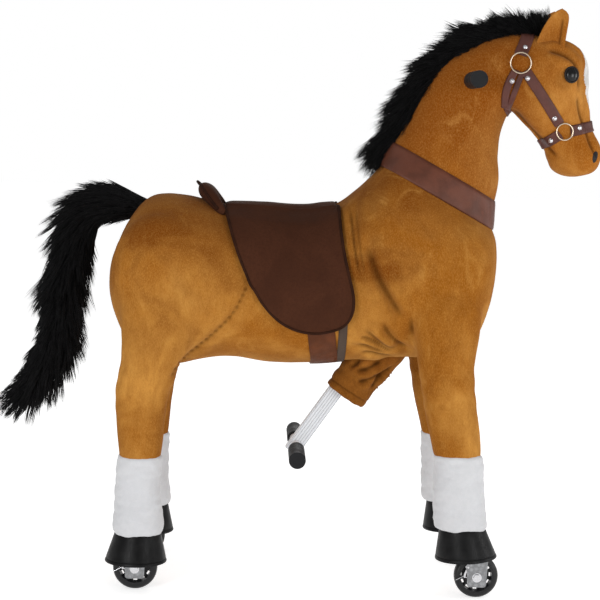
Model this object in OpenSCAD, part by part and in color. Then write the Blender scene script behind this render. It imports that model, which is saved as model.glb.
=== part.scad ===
// Plush ride-on horse on four wheels. Millimetres, +X towards the head, +Z up,
// origin on the floor under the middle of the overall length.

/* [Wheels] */
// Radius of each wheel over its tread
wheel_r = 42; // [40:1:43]
// Width of each tyre
tyre_w = 24; // [20:1:25]
// Number of slots round each wheel core
core_slots = 12; // [8:1:12]
// Number of ratchet teeth on each wheel core
ratchet_teeth = 24; // [12:12:24]

/* [Stance] */
// X of the front wheel axles
front_axle_x = 349; // [345:1:352]
// X of the rear wheel axles
rear_axle_x = -301; // [-303:1:-299]
// How far the front wheels lead their steering stems
fork_lead = 20; // [14:1:22]
// Half the distance between the left and right legs
leg_y = 126; // [122:1:128]
// X of the front leg pivot
front_pivot_x = 250; // [248:1:252]
// Height of the front leg pivot
front_pivot_z = 630; // [628:1:632]
// X of the rear leg pivot
rear_pivot_x = -266; // [-268:1:-264]
// Height of the rear leg pivot
rear_pivot_z = 614; // [612:1:616]

/* [Frame tubes] */
// Outer radius of the pivot cross tubes
cross_r = 15; // [14.5:0.5:15]
// Outer radius of the leg tubes
leg_tube_r = 13; // [12:0.5:13]
// Wall of every tube
tube_wall = 2; // [1.5:0.5:2.5]
// Length of the foot bar from the front pivot to the peg rod
foot_bar_len = 445; // [440:1:450]
// Tilt of the foot bar back from vertical
foot_bar_tilt = 34.2; // [33:0.1:35]
// Side of the square foot bar
foot_bar_side = 28; // [24:1:28]

/* [Grips] */
// Outer radius of the hand and foot grips
grip_r = 16; // [15:0.5:17]
// Length of each hand grip
hand_grip_len = 108; // [100:1:110]
// Length of each foot grip
foot_grip_len = 104; // [96:1:106]
// Half the span over the hand grips
hand_span = 190; // [188:1:195]
// Half the span over the foot grips
foot_span = 165; // [160:1:168]

/* [Neck] */
// Tilt of the steering axis forward from vertical
steer_tilt = 28.2; // [27:0.1:29]
// X of the middle of the neck's base
neck_x = 248; // [246:1:250]
// Height of the middle of the neck's base
neck_z = 765; // [763:1:767]

/* [Soft parts] */
// Thickness of the stuffed body wall
body_wall = 16; // [12:1:18]
// Radius of the front leg joint line about its pivot
front_cut_r = 205; // [200:1:208]
// Radius of the rear leg joint line about its pivot
rear_cut_r = 200; // [196:1:204]
// Gap at each moving joint line
gap = 2; // [1.5:0.5:3]

/* [Stride] */
// How far each pair of legs swings out from rest
stride = 14; // [10:1:14]

/* [Hidden] */

$fn = 48;
fit = 0.05;          // radial running clearance of a shaft in its bush
far = 900;           // longer than any sub-part

front_pivot = [front_pivot_x, 0, front_pivot_z];
rear_pivot = [rear_pivot_x, 0, rear_pivot_z];
neck_base = [neck_x, 0, neck_z];
handlebar_at = [308, 0, 981];
stem_x = front_axle_x - fork_lead;
hub_r = 31;
bearing_r = 11;
bearing_w = 7;
axle_r = 4;
fork_in = 17;        // inner face of each fork plate, from the wheel's middle
fork_t = 2.5;
fork_top = wheel_r * 2 + 4;
stem_r = 8;
stem_top = 138;
bush_t = 3;
bracket_in = 50;     // inner face of each pivot bracket plate
bracket_t = 6;
beam_w = 30;
beam_h = 40;
beam_z = 672;
beam_bottom = beam_z - beam_h / 2;
crank = 40;          // lever from each pivot to its sync link pin
link_pin_r = 5;
link_y = 26;

tan_plush = [0.72, 0.44, 0.16];
sock_white = [0.93, 0.93, 0.93];
hair_black = [0.06, 0.06, 0.06];
saddle_brown = [0.24, 0.14, 0.10];
strap_brown = [0.36, 0.20, 0.15];
steel = [0.62, 0.62, 0.64];
white_paint = [0.92, 0.92, 0.92];
rubber_black = [0.10, 0.10, 0.11];

// Soft shapes are lofts. A section is [x1, z1, x2, z2, half width]: a chord in the
// body's middle plane and how far the section reaches to each side of it. Seen from
// the right side, each chord turned a quarter clockwise points on to the next section.

torso_sections = [
  [-368, 560, -368, 622, 46], [-358, 522, -358, 652, 92], [-335, 474, -335, 698, 138],
  [-296, 430, -296, 738, 164], [-240, 418, -240, 746, 172], [-186, 430, -186, 736, 166],
  [-130, 436, -130, 724, 154], [-60, 426, -60, 721, 149], [20, 427, 20, 722, 149],
  [76, 433, 76, 744, 151], [125, 438, 125, 792, 157], [180, 441, 180, 836, 163],
  [240, 443, 240, 800, 166], [296, 446, 296, 762, 160], [336, 480, 336, 730, 140],
  [360, 530, 360, 706, 104], [373, 585, 373, 676, 52]
];
front_leg_sections = [
  [200, 596, 334, 596, 28], [208, 545, 338, 545, 43], [214, 500, 335, 500, 50],
  [222, 440, 331, 440, 50], [232, 385, 335, 385, 48], [244, 330, 342, 330, 45],
  [258, 285, 345, 285, 42], [261, 225, 357, 225, 43],
  [262, 170, 364, 170, 44], [262, 136, 366, 136, 46]
];
rear_leg_sections = [
  [-330, 610, -180, 610, 32], [-337, 545, -182, 545, 48], [-338, 480, -200, 480, 53],
  [-338, 430, -222, 430, 52], [-348, 385, -243, 385, 49], [-345, 330, -250, 330, 46],
  [-338, 257, -255, 257, 42], [-344, 195, -256, 195, 43],
  [-343, 150, -251, 150, 44], [-348, 110, -249, 110, 46]
];
front_sock_top = 275;
front_hoof_top = 137;
front_hoof_bottom = 77;
rear_sock_top = 257;
rear_hoof_top = 111;
rear_hoof_bottom = 54;
neck_sections = [
  [351, 710, 146, 820, 94], [369, 748, 166, 861, 89], [376, 792, 178, 882, 82],
  [373, 842, 197, 921, 74], [376, 884, 216, 956, 69], [385, 914, 240, 993, 66],
  [394, 932, 276, 1029, 65], [404, 920, 330, 1060, 67], [420, 904, 392, 1078, 71],
  [438, 888, 448, 1070, 74], [450, 876, 497, 1058, 73], [458, 866, 529, 1016, 66],
  [464, 856, 529, 974, 57], [468, 846, 537, 936, 50], [471, 836, 554, 892, 47],
  [476, 822, 571, 866, 48], [488, 811, 575, 842, 44], [506, 804, 566, 822, 35],
  [522, 803, 552, 811, 20]
];
tail_sections = [
  [-308, 742, -338, 700, 20], [-340, 764, -358, 702, 28], [-384, 772, -376, 692, 33],
  [-440, 750, -392, 656, 37], [-480, 690, -402, 624, 38], [-496, 610, -412, 578, 38],
  [-503, 530, -419, 514, 38], [-508, 462, -430, 448, 36], [-530, 400, -458, 382, 31],
  [-560, 346, -502, 324, 22], [-575, 314, -548, 302, 8]
];
mane_sections = [
  [186, 886, 112, 850, 14], [198, 904, 134, 894, 19], [214, 926, 160, 946, 20],
  [230, 950, 182, 990, 20], [254, 985, 210, 1030, 20], [284, 1014, 248, 1062, 20],
  [320, 1036, 296, 1094, 20], [350, 1050, 336, 1109, 20], [380, 1060, 376, 1120, 20],
  [408, 1062, 412, 1123, 20], [434, 1058, 446, 1120, 18], [458, 1050, 474, 1106, 15],
  [478, 1048, 496, 1084, 10]
];
ear_sections = [
  [470, 1122, 480, 1122, 3], [461, 1104, 487, 1104, 8], [452, 1076, 489, 1076, 12],
  [446, 1046, 490, 1046, 9]
];
sleeve_sections = [
  [104, 428, 160, 424, 34], [84, 414, 152, 396, 38], [66, 392, 130, 352, 37]
];

// Outlines in the middle plane, [x, z].
saddle_outline = [
  [66, 800], [68, 737], [71, 693], [77, 648], [86, 605], [96, 570], [95, 545], [83, 526],
  [60, 513], [30, 506], [0, 507], [-30, 520], [-62, 542], [-88, 572], [-108, 606],
  [-128, 655], [-142, 689], [-155, 722], [-155, 800]
];
girth_outline = [[8, 500], [22, 400], [72, 400], [59, 500]];
cinch_outline = [[71, 506], [72, 400], [86, 400], [87, 506]];
cantle_outline = [
  [-152, 700], [-150, 730], [-158, 752], [-172, 766], [-190, 771], [-213, 769], [-205, 750],
  [-190, 730], [-172, 712]
];
ring_upper = [400, 1018];
ring_lower = [492, 891];
halter_bands = [
  [[407, 1030], [424, 1110], 22], [[408, 1004], [484, 902], 17], [[392, 1008], [366, 915], 17],
  [[500, 892], [570, 906], 19], [[484, 884], [440, 852], 19]
];
rivet_places = [
  [409, 1046, 56], [414, 989, 71], [470, 916, 63], [385, 983, 67], [520, 899, 46], [469, 874, 40]
];

function unit(v) = v / norm(v);
function power(c, n) = sign(c) * pow(abs(c), 2 / n);

// One section's ring of k points, grown outwards by g.
function ring(s, g, y, k, n) =
  let (a = [s[0], 0, s[1]], b = [s[2], 0, s[3]], u = unit(b - a), r = norm(b - a) / 2 + g)
  [for (i = [0 : k - 1])
    (a + b) / 2 + [0, y, 0] + u * (r * power(cos(360 * i / k), n))
      + [0, (s[4] + g) * power(sin(360 * i / k), n), 0]];

// A closed solid through sections, each a superellipse of exponent n.
module loft(sections, g = 0, y = 0, k = 24, n = 2.2) {
  m = len(sections);
  points = [for (s = sections) each ring(s, g, y, k, n)];
  sides = [for (j = [0 : m - 2], i = [0 : k - 1], h = [0, 1])
    let (a = j * k + i, b = j * k + (i + 1) % k)
    h == 0 ? [a, b, a + k] : [b, b + k, a + k]];
  first = [for (i = [0 : k - 1]) k - 1 - i];
  last = [for (i = [0 : k - 1]) (m - 1) * k + i];
  polyhedron(points, concat([first], sides, [last]));
}

// A prism along Y through an outline in the middle plane.
module prism(outline, y0, y1) {
  translate([0, y1, 0]) rotate([90, 0, 0]) linear_extrude(y1 - y0) polygon(outline);
}

// The part of the children between two heights.
module between(z0, z1) {
  intersection() {
    children();
    translate([-far, -far, z0]) cube([2 * far, 2 * far, z1 - z0]);
  }
}

module rod_y(r, y0, y1, at = [0, 0, 0]) {
  translate([at.x, y0, at.z]) rotate([-90, 0, 0]) cylinder(r = r, h = y1 - y0);
}

module pipe_y(r, bore, y0, y1, at = [0, 0, 0]) {
  difference() {
    rod_y(r, y0, y1, at);
    rod_y(bore, y0 - 1, y1 + 1, at);
  }
}

// A round bar from a to b.
module bar(a, b, r) {
  v = b - a;
  translate(a) rotate([0, acos(v.z / norm(v)), atan2(v.y, v.x)]) cylinder(r = r, h = norm(v));
}

module both_sides() {
  children();
  mirror([0, 1, 0]) children();
}

// Space under the plane where the neck leaves the body, lowered by g.
module below_neck(g = 0) {
  translate(neck_base) rotate([0, steer_tilt, 0])
    translate([-far, -far, -2 * far - g]) cube([2 * far, 2 * far, 2 * far]);
}

// What of the middle plane the body keeps clear of the swinging legs.
module body_zone(g = 0) {
  rotate([90, 0, 0]) linear_extrude(2 * far, center = true) {
    translate([front_pivot_x, front_pivot_z]) circle(front_cut_r - g, $fn = 96);
    translate([rear_pivot_x, rear_pivot_z]) circle(rear_cut_r - g, $fn = 96);
    translate([-205 + g, 300]) square([415 - 2 * g, far]);
    translate([-far, 560]) square([2 * far, far]);
  }
}

module torso_loft(g = 0) { loft(torso_sections, g); }
module neck_loft(g = 0) { loft(neck_sections, g); }
module front_leg_loft() { loft(front_leg_sections, y = leg_y, k = 20); }
module rear_leg_loft() { loft(rear_leg_sections, y = leg_y, k = 20); }

module torso_inside() {
  inner = [for (s = torso_sections) if (s[4] > 100) s];
  intersection() {
    loft(inner, -body_wall);
    body_zone(body_wall);
    below_neck(body_wall);
  }
}

// The slot in the body for a leg tube on pivot p that swings between two angles from the
// vertical.
module leg_slot(p, low, high) {
  w = leg_tube_r + 3;
  reach = 260;
  function edge(a, side, r) = [p.x, p.z] + side * w * [cos(a), sin(a)] + r * [sin(a), -cos(a)];
  prism([edge(low, -1, 0), edge(low, -1, reach), edge(high, 1, reach), edge(high, 1, 0)],
    leg_y - w, leg_y + w);
}

// Room for the leg tubes, the foot bar and the steering column where they leave the body,
// over the whole stride.
module torso_openings() {
  front_angle = atan2(front_tube_end.x - front_pivot.x, front_pivot.z - front_tube_end.z);
  rear_angle = atan2(rear_tube_end.x - rear_pivot.x, rear_pivot.z - rear_tube_end.z);
  both_sides() {
    leg_slot(front_pivot, front_angle, front_angle + stride);
    leg_slot(rear_pivot, rear_angle - stride, rear_angle);
  }
  translate([96, -24, 380]) cube([112, 48, 120]);
  along_steer() translate([0, 0, -60]) cylinder(r = head_tube_r + 1, h = 80);
}

module torso_plush() {
  color(tan_plush) difference() {
    intersection() {
      union() {
        torso_loft();
        both_sides() front_leg_loft();
        both_sides() rear_leg_loft();
      }
      body_zone();
      below_neck();
    }
    torso_inside();
    torso_openings();
  }
}

// The part of the children that lies on the torso between two outward offsets, within
// the stretch of it that the saddle covers.
module on_torso(g0, g1) {
  under_saddle = [for (s = torso_sections) if (s[0] > -190 && s[0] < 130) s];
  difference() {
    intersection() {
      children();
      loft(under_saddle, g1);
    }
    loft(under_saddle, g0);
  }
}

module girth_strap() { color(strap_brown) on_torso(0.3, 3) prism(girth_outline, -far, far); }
module cinch_strap() { color(strap_brown) on_torso(0.3, 3) prism(cinch_outline, -far, far); }

seat_half_w = 74;
module saddle_seat() {
  color(saddle_brown) on_torso(0.3, 14)
    prism([[68, 680], [66, 800], [-152, 800], [-150, 680]], -seat_half_w, seat_half_w);
}

module saddle_flaps() {
  color(saddle_brown) both_sides() on_torso(3.4, 8) prism(saddle_outline, seat_half_w + 0.2, far);
}

module saddle_cantle() {
  color(saddle_brown) difference() {
    intersection() {
      prism(cantle_outline, -68, 68);
      translate([-240, 0, 690]) rotate([0, 90, 0]) cylinder(r = 82, h = 160);
    }
    torso_loft(0.3);
    on_torso(0.2, 14.2)
      prism([[68, 680], [66, 800], [-152, 800], [-150, 680]], -seat_half_w, seat_half_w);
  }
}

module tail() {
  color(hair_black) difference() {
    loft(tail_sections, k = 16);
    torso_loft(0.2);
  }
}

// ---- frame fixed to the body ----

// Two plates that hang from a bridge over the beam and carry one pivot.
module pivot_bracket(p) {
  beam_top = beam_z + beam_h / 2;
  out = bracket_in + bracket_t;
  difference() {
    union() {
      translate([p.x - 24, -out, beam_top]) cube([48, 2 * out, bracket_t]);
      both_sides() translate([p.x - 24, bracket_in, p.z - 22])
        cube([48, bracket_t, beam_top + bracket_t - p.z + 22]);
    }
    rod_y(cross_r + bush_t, -far, far, p);
  }
}

head_tube_r = 20;
head_tube_z0 = -76;   // along the steering axis, from the neck's base
head_tube_z1 = -14;
column_r = 12;
column_z0 = head_tube_z0 + 8;

module along_steer() { translate(neck_base) rotate([0, steer_tilt, 0]) children(); }

module chassis() {
  color(steel) difference() {
    union() {
      translate([-300, -beam_w / 2, beam_bottom]) cube([590, beam_w, beam_h]);
      pivot_bracket(front_pivot);
      pivot_bracket(rear_pivot);
      along_steer() translate([0, 0, head_tube_z0])
        cylinder(r = head_tube_r, h = head_tube_z1 - head_tube_z0);
      translate([spring_x0 - 6, spring_y - 6, spring_z - 12]) cube([6, 24, beam_z - spring_z]);
    }
    along_steer() translate([0, 0, column_z0 - 2]) cylinder(r = column_r + bush_t, h = 200);
    translate([-301, -beam_w / 2 + tube_wall, beam_bottom + tube_wall])
      cube([588, beam_w - 2 * tube_wall, beam_h - 2 * tube_wall]);
  }
}

module bushes() {
  color(white_paint) {
    for (p = [front_pivot, rear_pivot]) both_sides()
      pipe_y(cross_r + bush_t, cross_r + fit, bracket_in, bracket_in + bracket_t, p);
    along_steer() for (z = [column_z0, head_tube_z1 - 16]) translate([0, 0, z]) difference() {
      cylinder(r = column_r + bush_t, h = 16);
      translate([0, 0, -1]) cylinder(r = column_r + fit, h = 18);
    }
  }
}

module saddle_board() {
  color([0.75, 0.62, 0.45]) translate([-150, -40, beam_z + beam_h / 2]) cube([200, 80, 6]);
}

// ---- leg frames ----

housing_r = 17;
housing_z0 = 94;
housing_z1 = 156;
front_tube_end = [stem_x, leg_y, housing_z1 - 6];
rear_tube_end = [rear_axle_x, leg_y, housing_z1 - 6];

// The leg tube from pivot p, shortened at both ends for its inside.
module leg_tube(p, tube_end, r, short = 0) {
  hip = [p.x, leg_y, p.z];
  along = unit(tube_end - hip);
  bar(hip + short * along, tube_end - short * along, r);
}

// A cross tube on pivot p, two welded leg tubes and their housings for stems.
module leg_frame(p, tube_end, stem_bore) {
  end_y = leg_y + leg_tube_r;
  difference() {
    union() {
      rod_y(cross_r, -end_y, end_y, p);
      both_sides() {
        leg_tube(p, tube_end, leg_tube_r);
        translate([tube_end.x, leg_y, housing_z0]) cylinder(r = housing_r, h = housing_z1 - housing_z0);
      }
    }
    rod_y(cross_r - tube_wall, 20 - leg_y, leg_y - 20, p);
    both_sides() {
      leg_tube(p, tube_end, leg_tube_r - tube_wall, 22);
      translate([tube_end.x, leg_y, housing_z0 - 1]) cylinder(r = stem_bore, h = stem_top + 2 - housing_z0);
    }
  }
}

lever_y = link_y + 4;
lever_t = 6;

// A lever on a cross tube, up for 1 or down for -1, with a pin for the sync link.
module crank_lever(p, up) {
  pin = p + [0, 0, up * crank];
  difference() {
    union() {
      rod_y(9, lever_y, lever_y + lever_t, pin);
      translate([p.x - 8, lever_y, min(p.z, pin.z)]) cube([16, lever_t, crank]);
    }
    rod_y(cross_r - 0.5, -far, far, p);
  }
  rod_y(link_pin_r, link_y - 4, lever_y + 1, pin);
}

module front_leg_frame() {
  color(steel) {
    leg_frame(front_pivot, front_tube_end, stem_r + bush_t);
    crank_lever(front_pivot, -1);
  }
}

module rear_leg_frame() {
  color(steel) {
    leg_frame(rear_pivot, rear_tube_end, stem_r);
    crank_lever(rear_pivot, 1);
  }
}

link_front = front_pivot - [0, 0, crank];
link_rear = rear_pivot + [0, 0, crank];
link_slack = 1.6;   // radial play at the rear pin, which follows an arc of its own

module sync_link() {
  eye_r_out = link_pin_r + 4;
  color(steel) difference() {
    union() {
      for (p = [link_front, link_rear]) rod_y(eye_r_out, link_y - 3, link_y + 3, p);
      prism([
        [link_front.x, link_front.z - 7], [link_front.x, link_front.z + 7],
        [link_rear.x, link_rear.z + 7], [link_rear.x, link_rear.z - 7]
      ], link_y - 3, link_y + 3);
    }
    rod_y(link_pin_r + fit, -far, far, link_front);
    rod_y(link_pin_r + link_slack, -far, far, link_rear);
  }
}

// ---- foot bar ----

module along_foot_bar() { translate(front_pivot) rotate([0, 180 + foot_bar_tilt, 0]) children(); }
foot_bar_down = [-sin(foot_bar_tilt), 0, -cos(foot_bar_tilt)];
peg_at = front_pivot + foot_bar_len * foot_bar_down;
spring_pin = front_pivot + 60 * foot_bar_down;
peg_rod_r = 11;
peg_boss = 15;

module foot_bar() {
  s = foot_bar_side;
  color(white_paint) difference() {
    union() {
      along_foot_bar() translate([-s / 2, -s / 2, 17]) cube([s, s, foot_bar_len - 17 + peg_boss]);
      rod_y(cross_r + 5, -s / 2 - 2, s / 2 + 2, front_pivot);
      rod_y(4, spring_y - 5, 1 - s / 2, spring_pin);
    }
    rod_y(cross_r, -far, far, front_pivot);
    along_foot_bar() translate([tube_wall - s / 2, tube_wall - s / 2, 30])
      cube([s - 2 * tube_wall, s - 2 * tube_wall, foot_bar_len - 50]);
    rod_y(peg_rod_r, -far, far, peg_at);
  }
}

module foot_peg_rod() {
  color(white_paint) pipe_y(peg_rod_r, peg_rod_r - tube_wall, -foot_span + 3, foot_span - 3, peg_at);
}

module grip(r, bore, len, span, at) {
  difference() {
    rod_y(r, span - len, span, at);
    rod_y(bore, span - len - 1, span - 3, at);
  }
}

module foot_grips() {
  color(rubber_black) both_sides() grip(grip_r, peg_rod_r, foot_grip_len, foot_span, peg_at);
}

module foot_bar_sleeve() {
  s = foot_bar_side;
  color(tan_plush) difference() {
    loft(sleeve_sections, k = 20);
    along_foot_bar() translate([-s / 2, -s / 2, 0]) cube([s, s, foot_bar_len]);
  }
}

// ---- legs ----

// Room for a leg's tube and housing inside its stuffing.
module leg_core(p, tube_end) {
  leg_tube(p, tube_end, leg_tube_r);
  translate([tube_end.x, leg_y, 60]) cylinder(r = housing_r, h = housing_z1 - 60);
}

module front_leg_solid() {
  difference() {
    front_leg_loft();
    rod_y(front_cut_r + gap, -far, far, front_pivot, $fn = 96);
    leg_core(front_pivot, front_tube_end);
  }
}

module rear_leg_solid() {
  difference() {
    rear_leg_loft();
    rod_y(rear_cut_r + gap, -far, far, rear_pivot, $fn = 96);
    leg_core(rear_pivot, rear_tube_end);
  }
}

module front_leg_plush() { color(tan_plush) both_sides() between(front_sock_top, far) front_leg_solid(); }
module front_socks() {
  color(sock_white) both_sides() between(front_hoof_top, front_sock_top) front_leg_solid();
}
module rear_leg_plush() { color(tan_plush) both_sides() between(rear_sock_top, far) rear_leg_solid(); }
module rear_socks() {
  color(sock_white) both_sides() between(rear_hoof_top, rear_sock_top) rear_leg_solid();
}

// A hollow hoof round the stem at x, wider at the floor, open below for the wheel.
module hoof(x, z0, z1) {
  wall = 3;
  low_r = 59;
  high_r = 44;
  color(rubber_black) translate([x, leg_y, 0]) difference() {
    translate([0, 0, z0]) cylinder(r1 = low_r, r2 = high_r, h = z1 - z0);
    translate([0, 0, z0 - 1]) cylinder(r1 = low_r - wall, r2 = high_r - wall, h = z1 - wall - z0 + 1);
    translate([0, 0, z1 - 10]) cylinder(r = housing_r, h = 20);
  }
}

module front_hooves() { both_sides() hoof(stem_x, front_hoof_bottom, front_hoof_top - 0.2); }
module rear_hooves() { both_sides() hoof(rear_axle_x, rear_hoof_bottom, rear_hoof_top - 0.2); }

// ---- forks, axles and wheels ----

fork_corner = 5;      // the rounding of a fork plate's two lower corners
fork_below = 19;      // how far a fork plate reaches below the axle

// The side of a fork plate round the axle: slightly narrower at the bottom, with round corners.
module fork_side(half_w, top) {
  low_w = half_w - 3;
  r = fork_corner;
  for (x = [r - low_w, low_w - r]) translate([x, r - fork_below]) circle(r = r);
  polygon([
    [-half_w, top], [half_w, top], [low_w, r - fork_below], [low_w - r, -fork_below],
    [r - low_w, -fork_below], [-low_w, r - fork_below]
  ]);
}

// A bent steel fork with its stem, for the wheel of the leg at side s, -1 right, 1 left.
module fork(x, lead, s) {
  plate_w = 42;
  color(steel) translate([0, s * leg_y, 0]) difference() {
    union() {
      translate([min(x, x + lead) - plate_w / 2, -fork_in - fork_t, fork_top])
        cube([plate_w + abs(lead), 2 * (fork_in + fork_t), 4]);
      for (y = [-fork_in - fork_t, fork_in]) translate([x + lead, y + fork_t, wheel_r])
        rotate([90, 0, 0]) linear_extrude(fork_t) fork_side(plate_w / 2, fork_top - wheel_r + 1);
      translate([x, 0, fork_top]) cylinder(r = stem_r, h = stem_top - fork_top);
    }
    rod_y(axle_r, -far, far, [x + lead, 0, wheel_r]);
    rod_y(pawl_pin_r, -far, far, pawl_pin(x + lead));
  }
}

module axle_bolt(x, s) {
  out = fork_in + fork_t;
  color(steel) translate([0, s * leg_y, 0]) {
    rod_y(axle_r, -out - 6, out + 8, [x, 0, wheel_r]);
    rod_y(9, -out - 1.5, -out, [x, 0, wheel_r]);
    rod_y(7, -out - 6, -out - 1.5, [x, 0, wheel_r], $fn = 6);
    rod_y(7, out, out + 6, [x, 0, wheel_r], $fn = 6);
  }
}

module at_wheel(x, s) { translate([x, s * leg_y, wheel_r]) children(); }

module tyre(x, s) {
  h = tyre_w / 2;
  round_r = 9;
  color(rubber_black) at_wheel(x, s) rotate([90, 0, 0]) rotate_extrude($fn = 72) difference() {
    union() {
      translate([hub_r, -h]) square([wheel_r - round_r - hub_r, 2 * h]);
      translate([wheel_r - round_r, -h + round_r]) square([round_r, 2 * (h - round_r)]);
      for (y = [-h + round_r, h - round_r]) translate([wheel_r - round_r, y]) circle(round_r);
    }
    translate([0, -far]) square([hub_r, 2 * far]);
  }
}

core_half = 11;
ratchet_out = 16;     // how far the ratchet ring reaches from the wheel's middle
ratchet_tip = 20;
ratchet_root = 17.5;

module ratchet(s) {
  pitch = 360 / ratchet_teeth;
  outline = [for (i = [0 : ratchet_teeth - 1]) let (a = i * pitch - 2) each [
    ratchet_tip * [cos(a), sin(a)],
    ratchet_root * [cos(a + 1.8), sin(a + 1.8)]
  ]];
  translate([0, s > 0 ? ratchet_out : -core_half, 0]) rotate([90, 0, 0])
    linear_extrude(ratchet_out - core_half) difference() {
      polygon(outline);
      circle(bearing_r + 2);
    }
}

// A deep dish opens outwards round the hub. Slots go through the thin web behind it.
core_dish_r = [20.5, 29.8];
core_web = 3;
core_slot = [26, 3.4, 7.6];   // distance from the axis, height and width of a slot

module wheel_core(x, s) {
  mouth = s * (core_half + 1);
  web = s * (core_web - core_half);
  color([0.25, 0.25, 0.26]) at_wheel(x, s) {
    difference() {
      rod_y(hub_r, -core_half, core_half);
      rod_y(bearing_r, -far, far);
      for (i = [0 : core_slots - 1]) rotate([0, 360 * i / core_slots, 0])
        translate([core_slot[0], -far, -core_slot[2] / 2]) cube([core_slot[1], 2 * far, core_slot[2]]);
      pipe_y(core_dish_r[1], core_dish_r[0], min(mouth, web), max(mouth, web));
    }
    ratchet(s);
    pipe_y(bearing_r + 2, axle_r + 3, -3, 3);
  }
}

module wheel_bearings(x, s) {
  color(steel) at_wheel(x, s) for (y = [-core_half, core_half - bearing_w])
    pipe_y(bearing_r, axle_r + fit, y, y + bearing_w);
}

pawl_pin_r = 2;
pawl_t = 3;
function pawl_pin(x) = [x - 17, 0, wheel_r + 19];

// The pawl's outline round the wheel's middle: a curved arm from its pin to a nose that
// sits under a tooth.
module pawl_outline() {
  pin = [pawl_pin(0).x, pawl_pin(0).z - wheel_r];
  arm_in = ratchet_tip + 1;
  arm_out = ratchet_tip + 4.5;
  arc_end = 131;
  difference() {
    union() {
      intersection() {
        difference() {
          circle(arm_out);
          circle(arm_in);
        }
        polygon([[0, 0], 60 * [cos(arc_end), sin(arc_end)], [-60, 40], [-60, -4.5]]);
      }
      translate([-arm_out + 1, -1.8]) square([arm_out - 1 - nose_in, 1.5]);
      translate(pin) circle(4.5);
    }
    translate(pin) circle(pawl_pin_r - 0.5);
  }
}
nose_in = ratchet_root + 1;

// A sprung pawl beside the ratchet. Its nose hangs from the pin above it and stops a tooth
// that comes down, so that the wheel rolls forwards only.
module pawl(x, s) {
  y0 = s > 0 ? ratchet_out - pawl_t : -ratchet_out;
  plate = s > 0 ? [y0 + pawl_t, fork_in + fork_t] : [-fork_in - fork_t, y0];
  lever = [x - ratchet_tip - 3, y0 + pawl_t / 2, wheel_r + 2];
  color(steel) translate([0, s * leg_y, 0]) {
    translate([x, y0 + pawl_t, wheel_r]) rotate([90, 0, 0]) linear_extrude(pawl_t) pawl_outline();
    rod_y(pawl_pin_r - fit, plate[0], plate[1], pawl_pin(x));
    bar(lever, lever + [-17, 0, -9], 0.9);
  }
}

// ---- neck and head ----

column_top = 150;
elbow = neck_base + column_top * [sin(steer_tilt), 0, cos(steer_tilt)];
poll = [440, 0, 985];
handlebar_r = 11;
handle_hub_r = 15;
arm_r = 10;

// The steering column, its arm to the handlebar and the rod that holds the head up.
module neck_frame_solid() {
  along_steer() translate([0, 0, column_z0]) cylinder(r = column_r, h = column_top - column_z0);
  bar(elbow, handlebar_at, arm_r);
  rod_y(handle_hub_r, -24, 24, handlebar_at);
  bar(handlebar_at, poll, 8);
}

module neck_frame() {
  color(steel) difference() {
    neck_frame_solid();
    rod_y(handlebar_r, -far, far, handlebar_at);
    along_steer() translate([0, 0, column_z0 - 1])
      cylinder(r = column_r - tube_wall, h = column_top - column_z0 - 20);
  }
}

module handlebar() {
  color(steel) pipe_y(handlebar_r, handlebar_r - tube_wall, -hand_span + 3, hand_span - 3, handlebar_at);
}

module hand_grips() {
  color(rubber_black) both_sides() grip(grip_r, handlebar_r, hand_grip_len, hand_span, handlebar_at);
}

module neck_plush() {
  color(tan_plush) difference() {
    neck_loft();
    translate(neck_base) rotate([0, steer_tilt, 0]) translate([-far, -far, gap - 2 * far])
      cube([2 * far, 2 * far, 2 * far]);
    neck_frame_solid();
    rod_y(handlebar_r, -far, far, handlebar_at);
    both_sides() translate(eye_at) sphere(r = eye_r);
  }
}

// The section a fraction t of the way from section a to section b.
function mix(a, b, t) = (1 - t) * a + t * b;

module chest_collar() {
  low = mix(neck_sections[0], neck_sections[1], 0.08);
  high = mix(neck_sections[0], neck_sections[1], 0.95);
  color(strap_brown) difference() {
    loft([low, high], 3.5);
    loft([neck_sections[0], neck_sections[1]], 0.3);
  }
}

module on_neck(g0, g1) {
  difference() {
    intersection() {
      children();
      neck_loft(g1);
    }
    neck_loft(g0);
  }
}

ear_root = [0, 40, 1046];
ear_splay = 10;
module ears() {
  color(tan_plush) difference() {
    both_sides() translate(ear_root) rotate([-ear_splay, 0, 0]) translate([0, 0, -ear_root.z])
      loft(ear_sections, k = 16);
    neck_loft(0.2);
  }
}

module mane() {
  color(hair_black) difference() {
    loft(mane_sections, k = 16);
    neck_loft(0.2);
    intersection() {
      neck_loft(3.9);
      halter_prisms(1.2);
    }
  }
}

eye_at = [495, 50, 995];
eye_r = 13;
module eyes() { color(rubber_black) both_sides() translate(eye_at) sphere(r = eye_r); }

// A straight strap's outline from a to b in the middle plane.
module strap_outline(a, b, w) {
  d = unit(b - a);
  side = [-d.y, d.x] * w / 2;
  polygon([a + side, b + side, b - side, a - side]);
}

module halter_prisms(extra = 0) {
  rotate([90, 0, 0]) linear_extrude(2 * far, center = true)
    for (s = halter_bands) strap_outline(s[0], s[1], s[2] + extra);
}

module halter_straps() { color(strap_brown) on_neck(0.3, 3.3) halter_prisms(); }

module halter_ring(at, y, r) {
  translate([at.x, y, at.y]) rotate([90, 0, 0]) rotate_extrude() translate([r, 0]) circle(1.7, $fn = 16);
}

module halter_rings() {
  color(steel) both_sides() {
    halter_ring(ring_upper, 79, 19);
    halter_ring(ring_lower, 62, 15.5);
  }
}

module halter_rivets() {
  color(steel) both_sides() for (p = rivet_places) rod_y(3.6, p[2] - 3, p[2] + 5, [p[0], 0, p[1]]);
}

// ---- return spring ----

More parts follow.
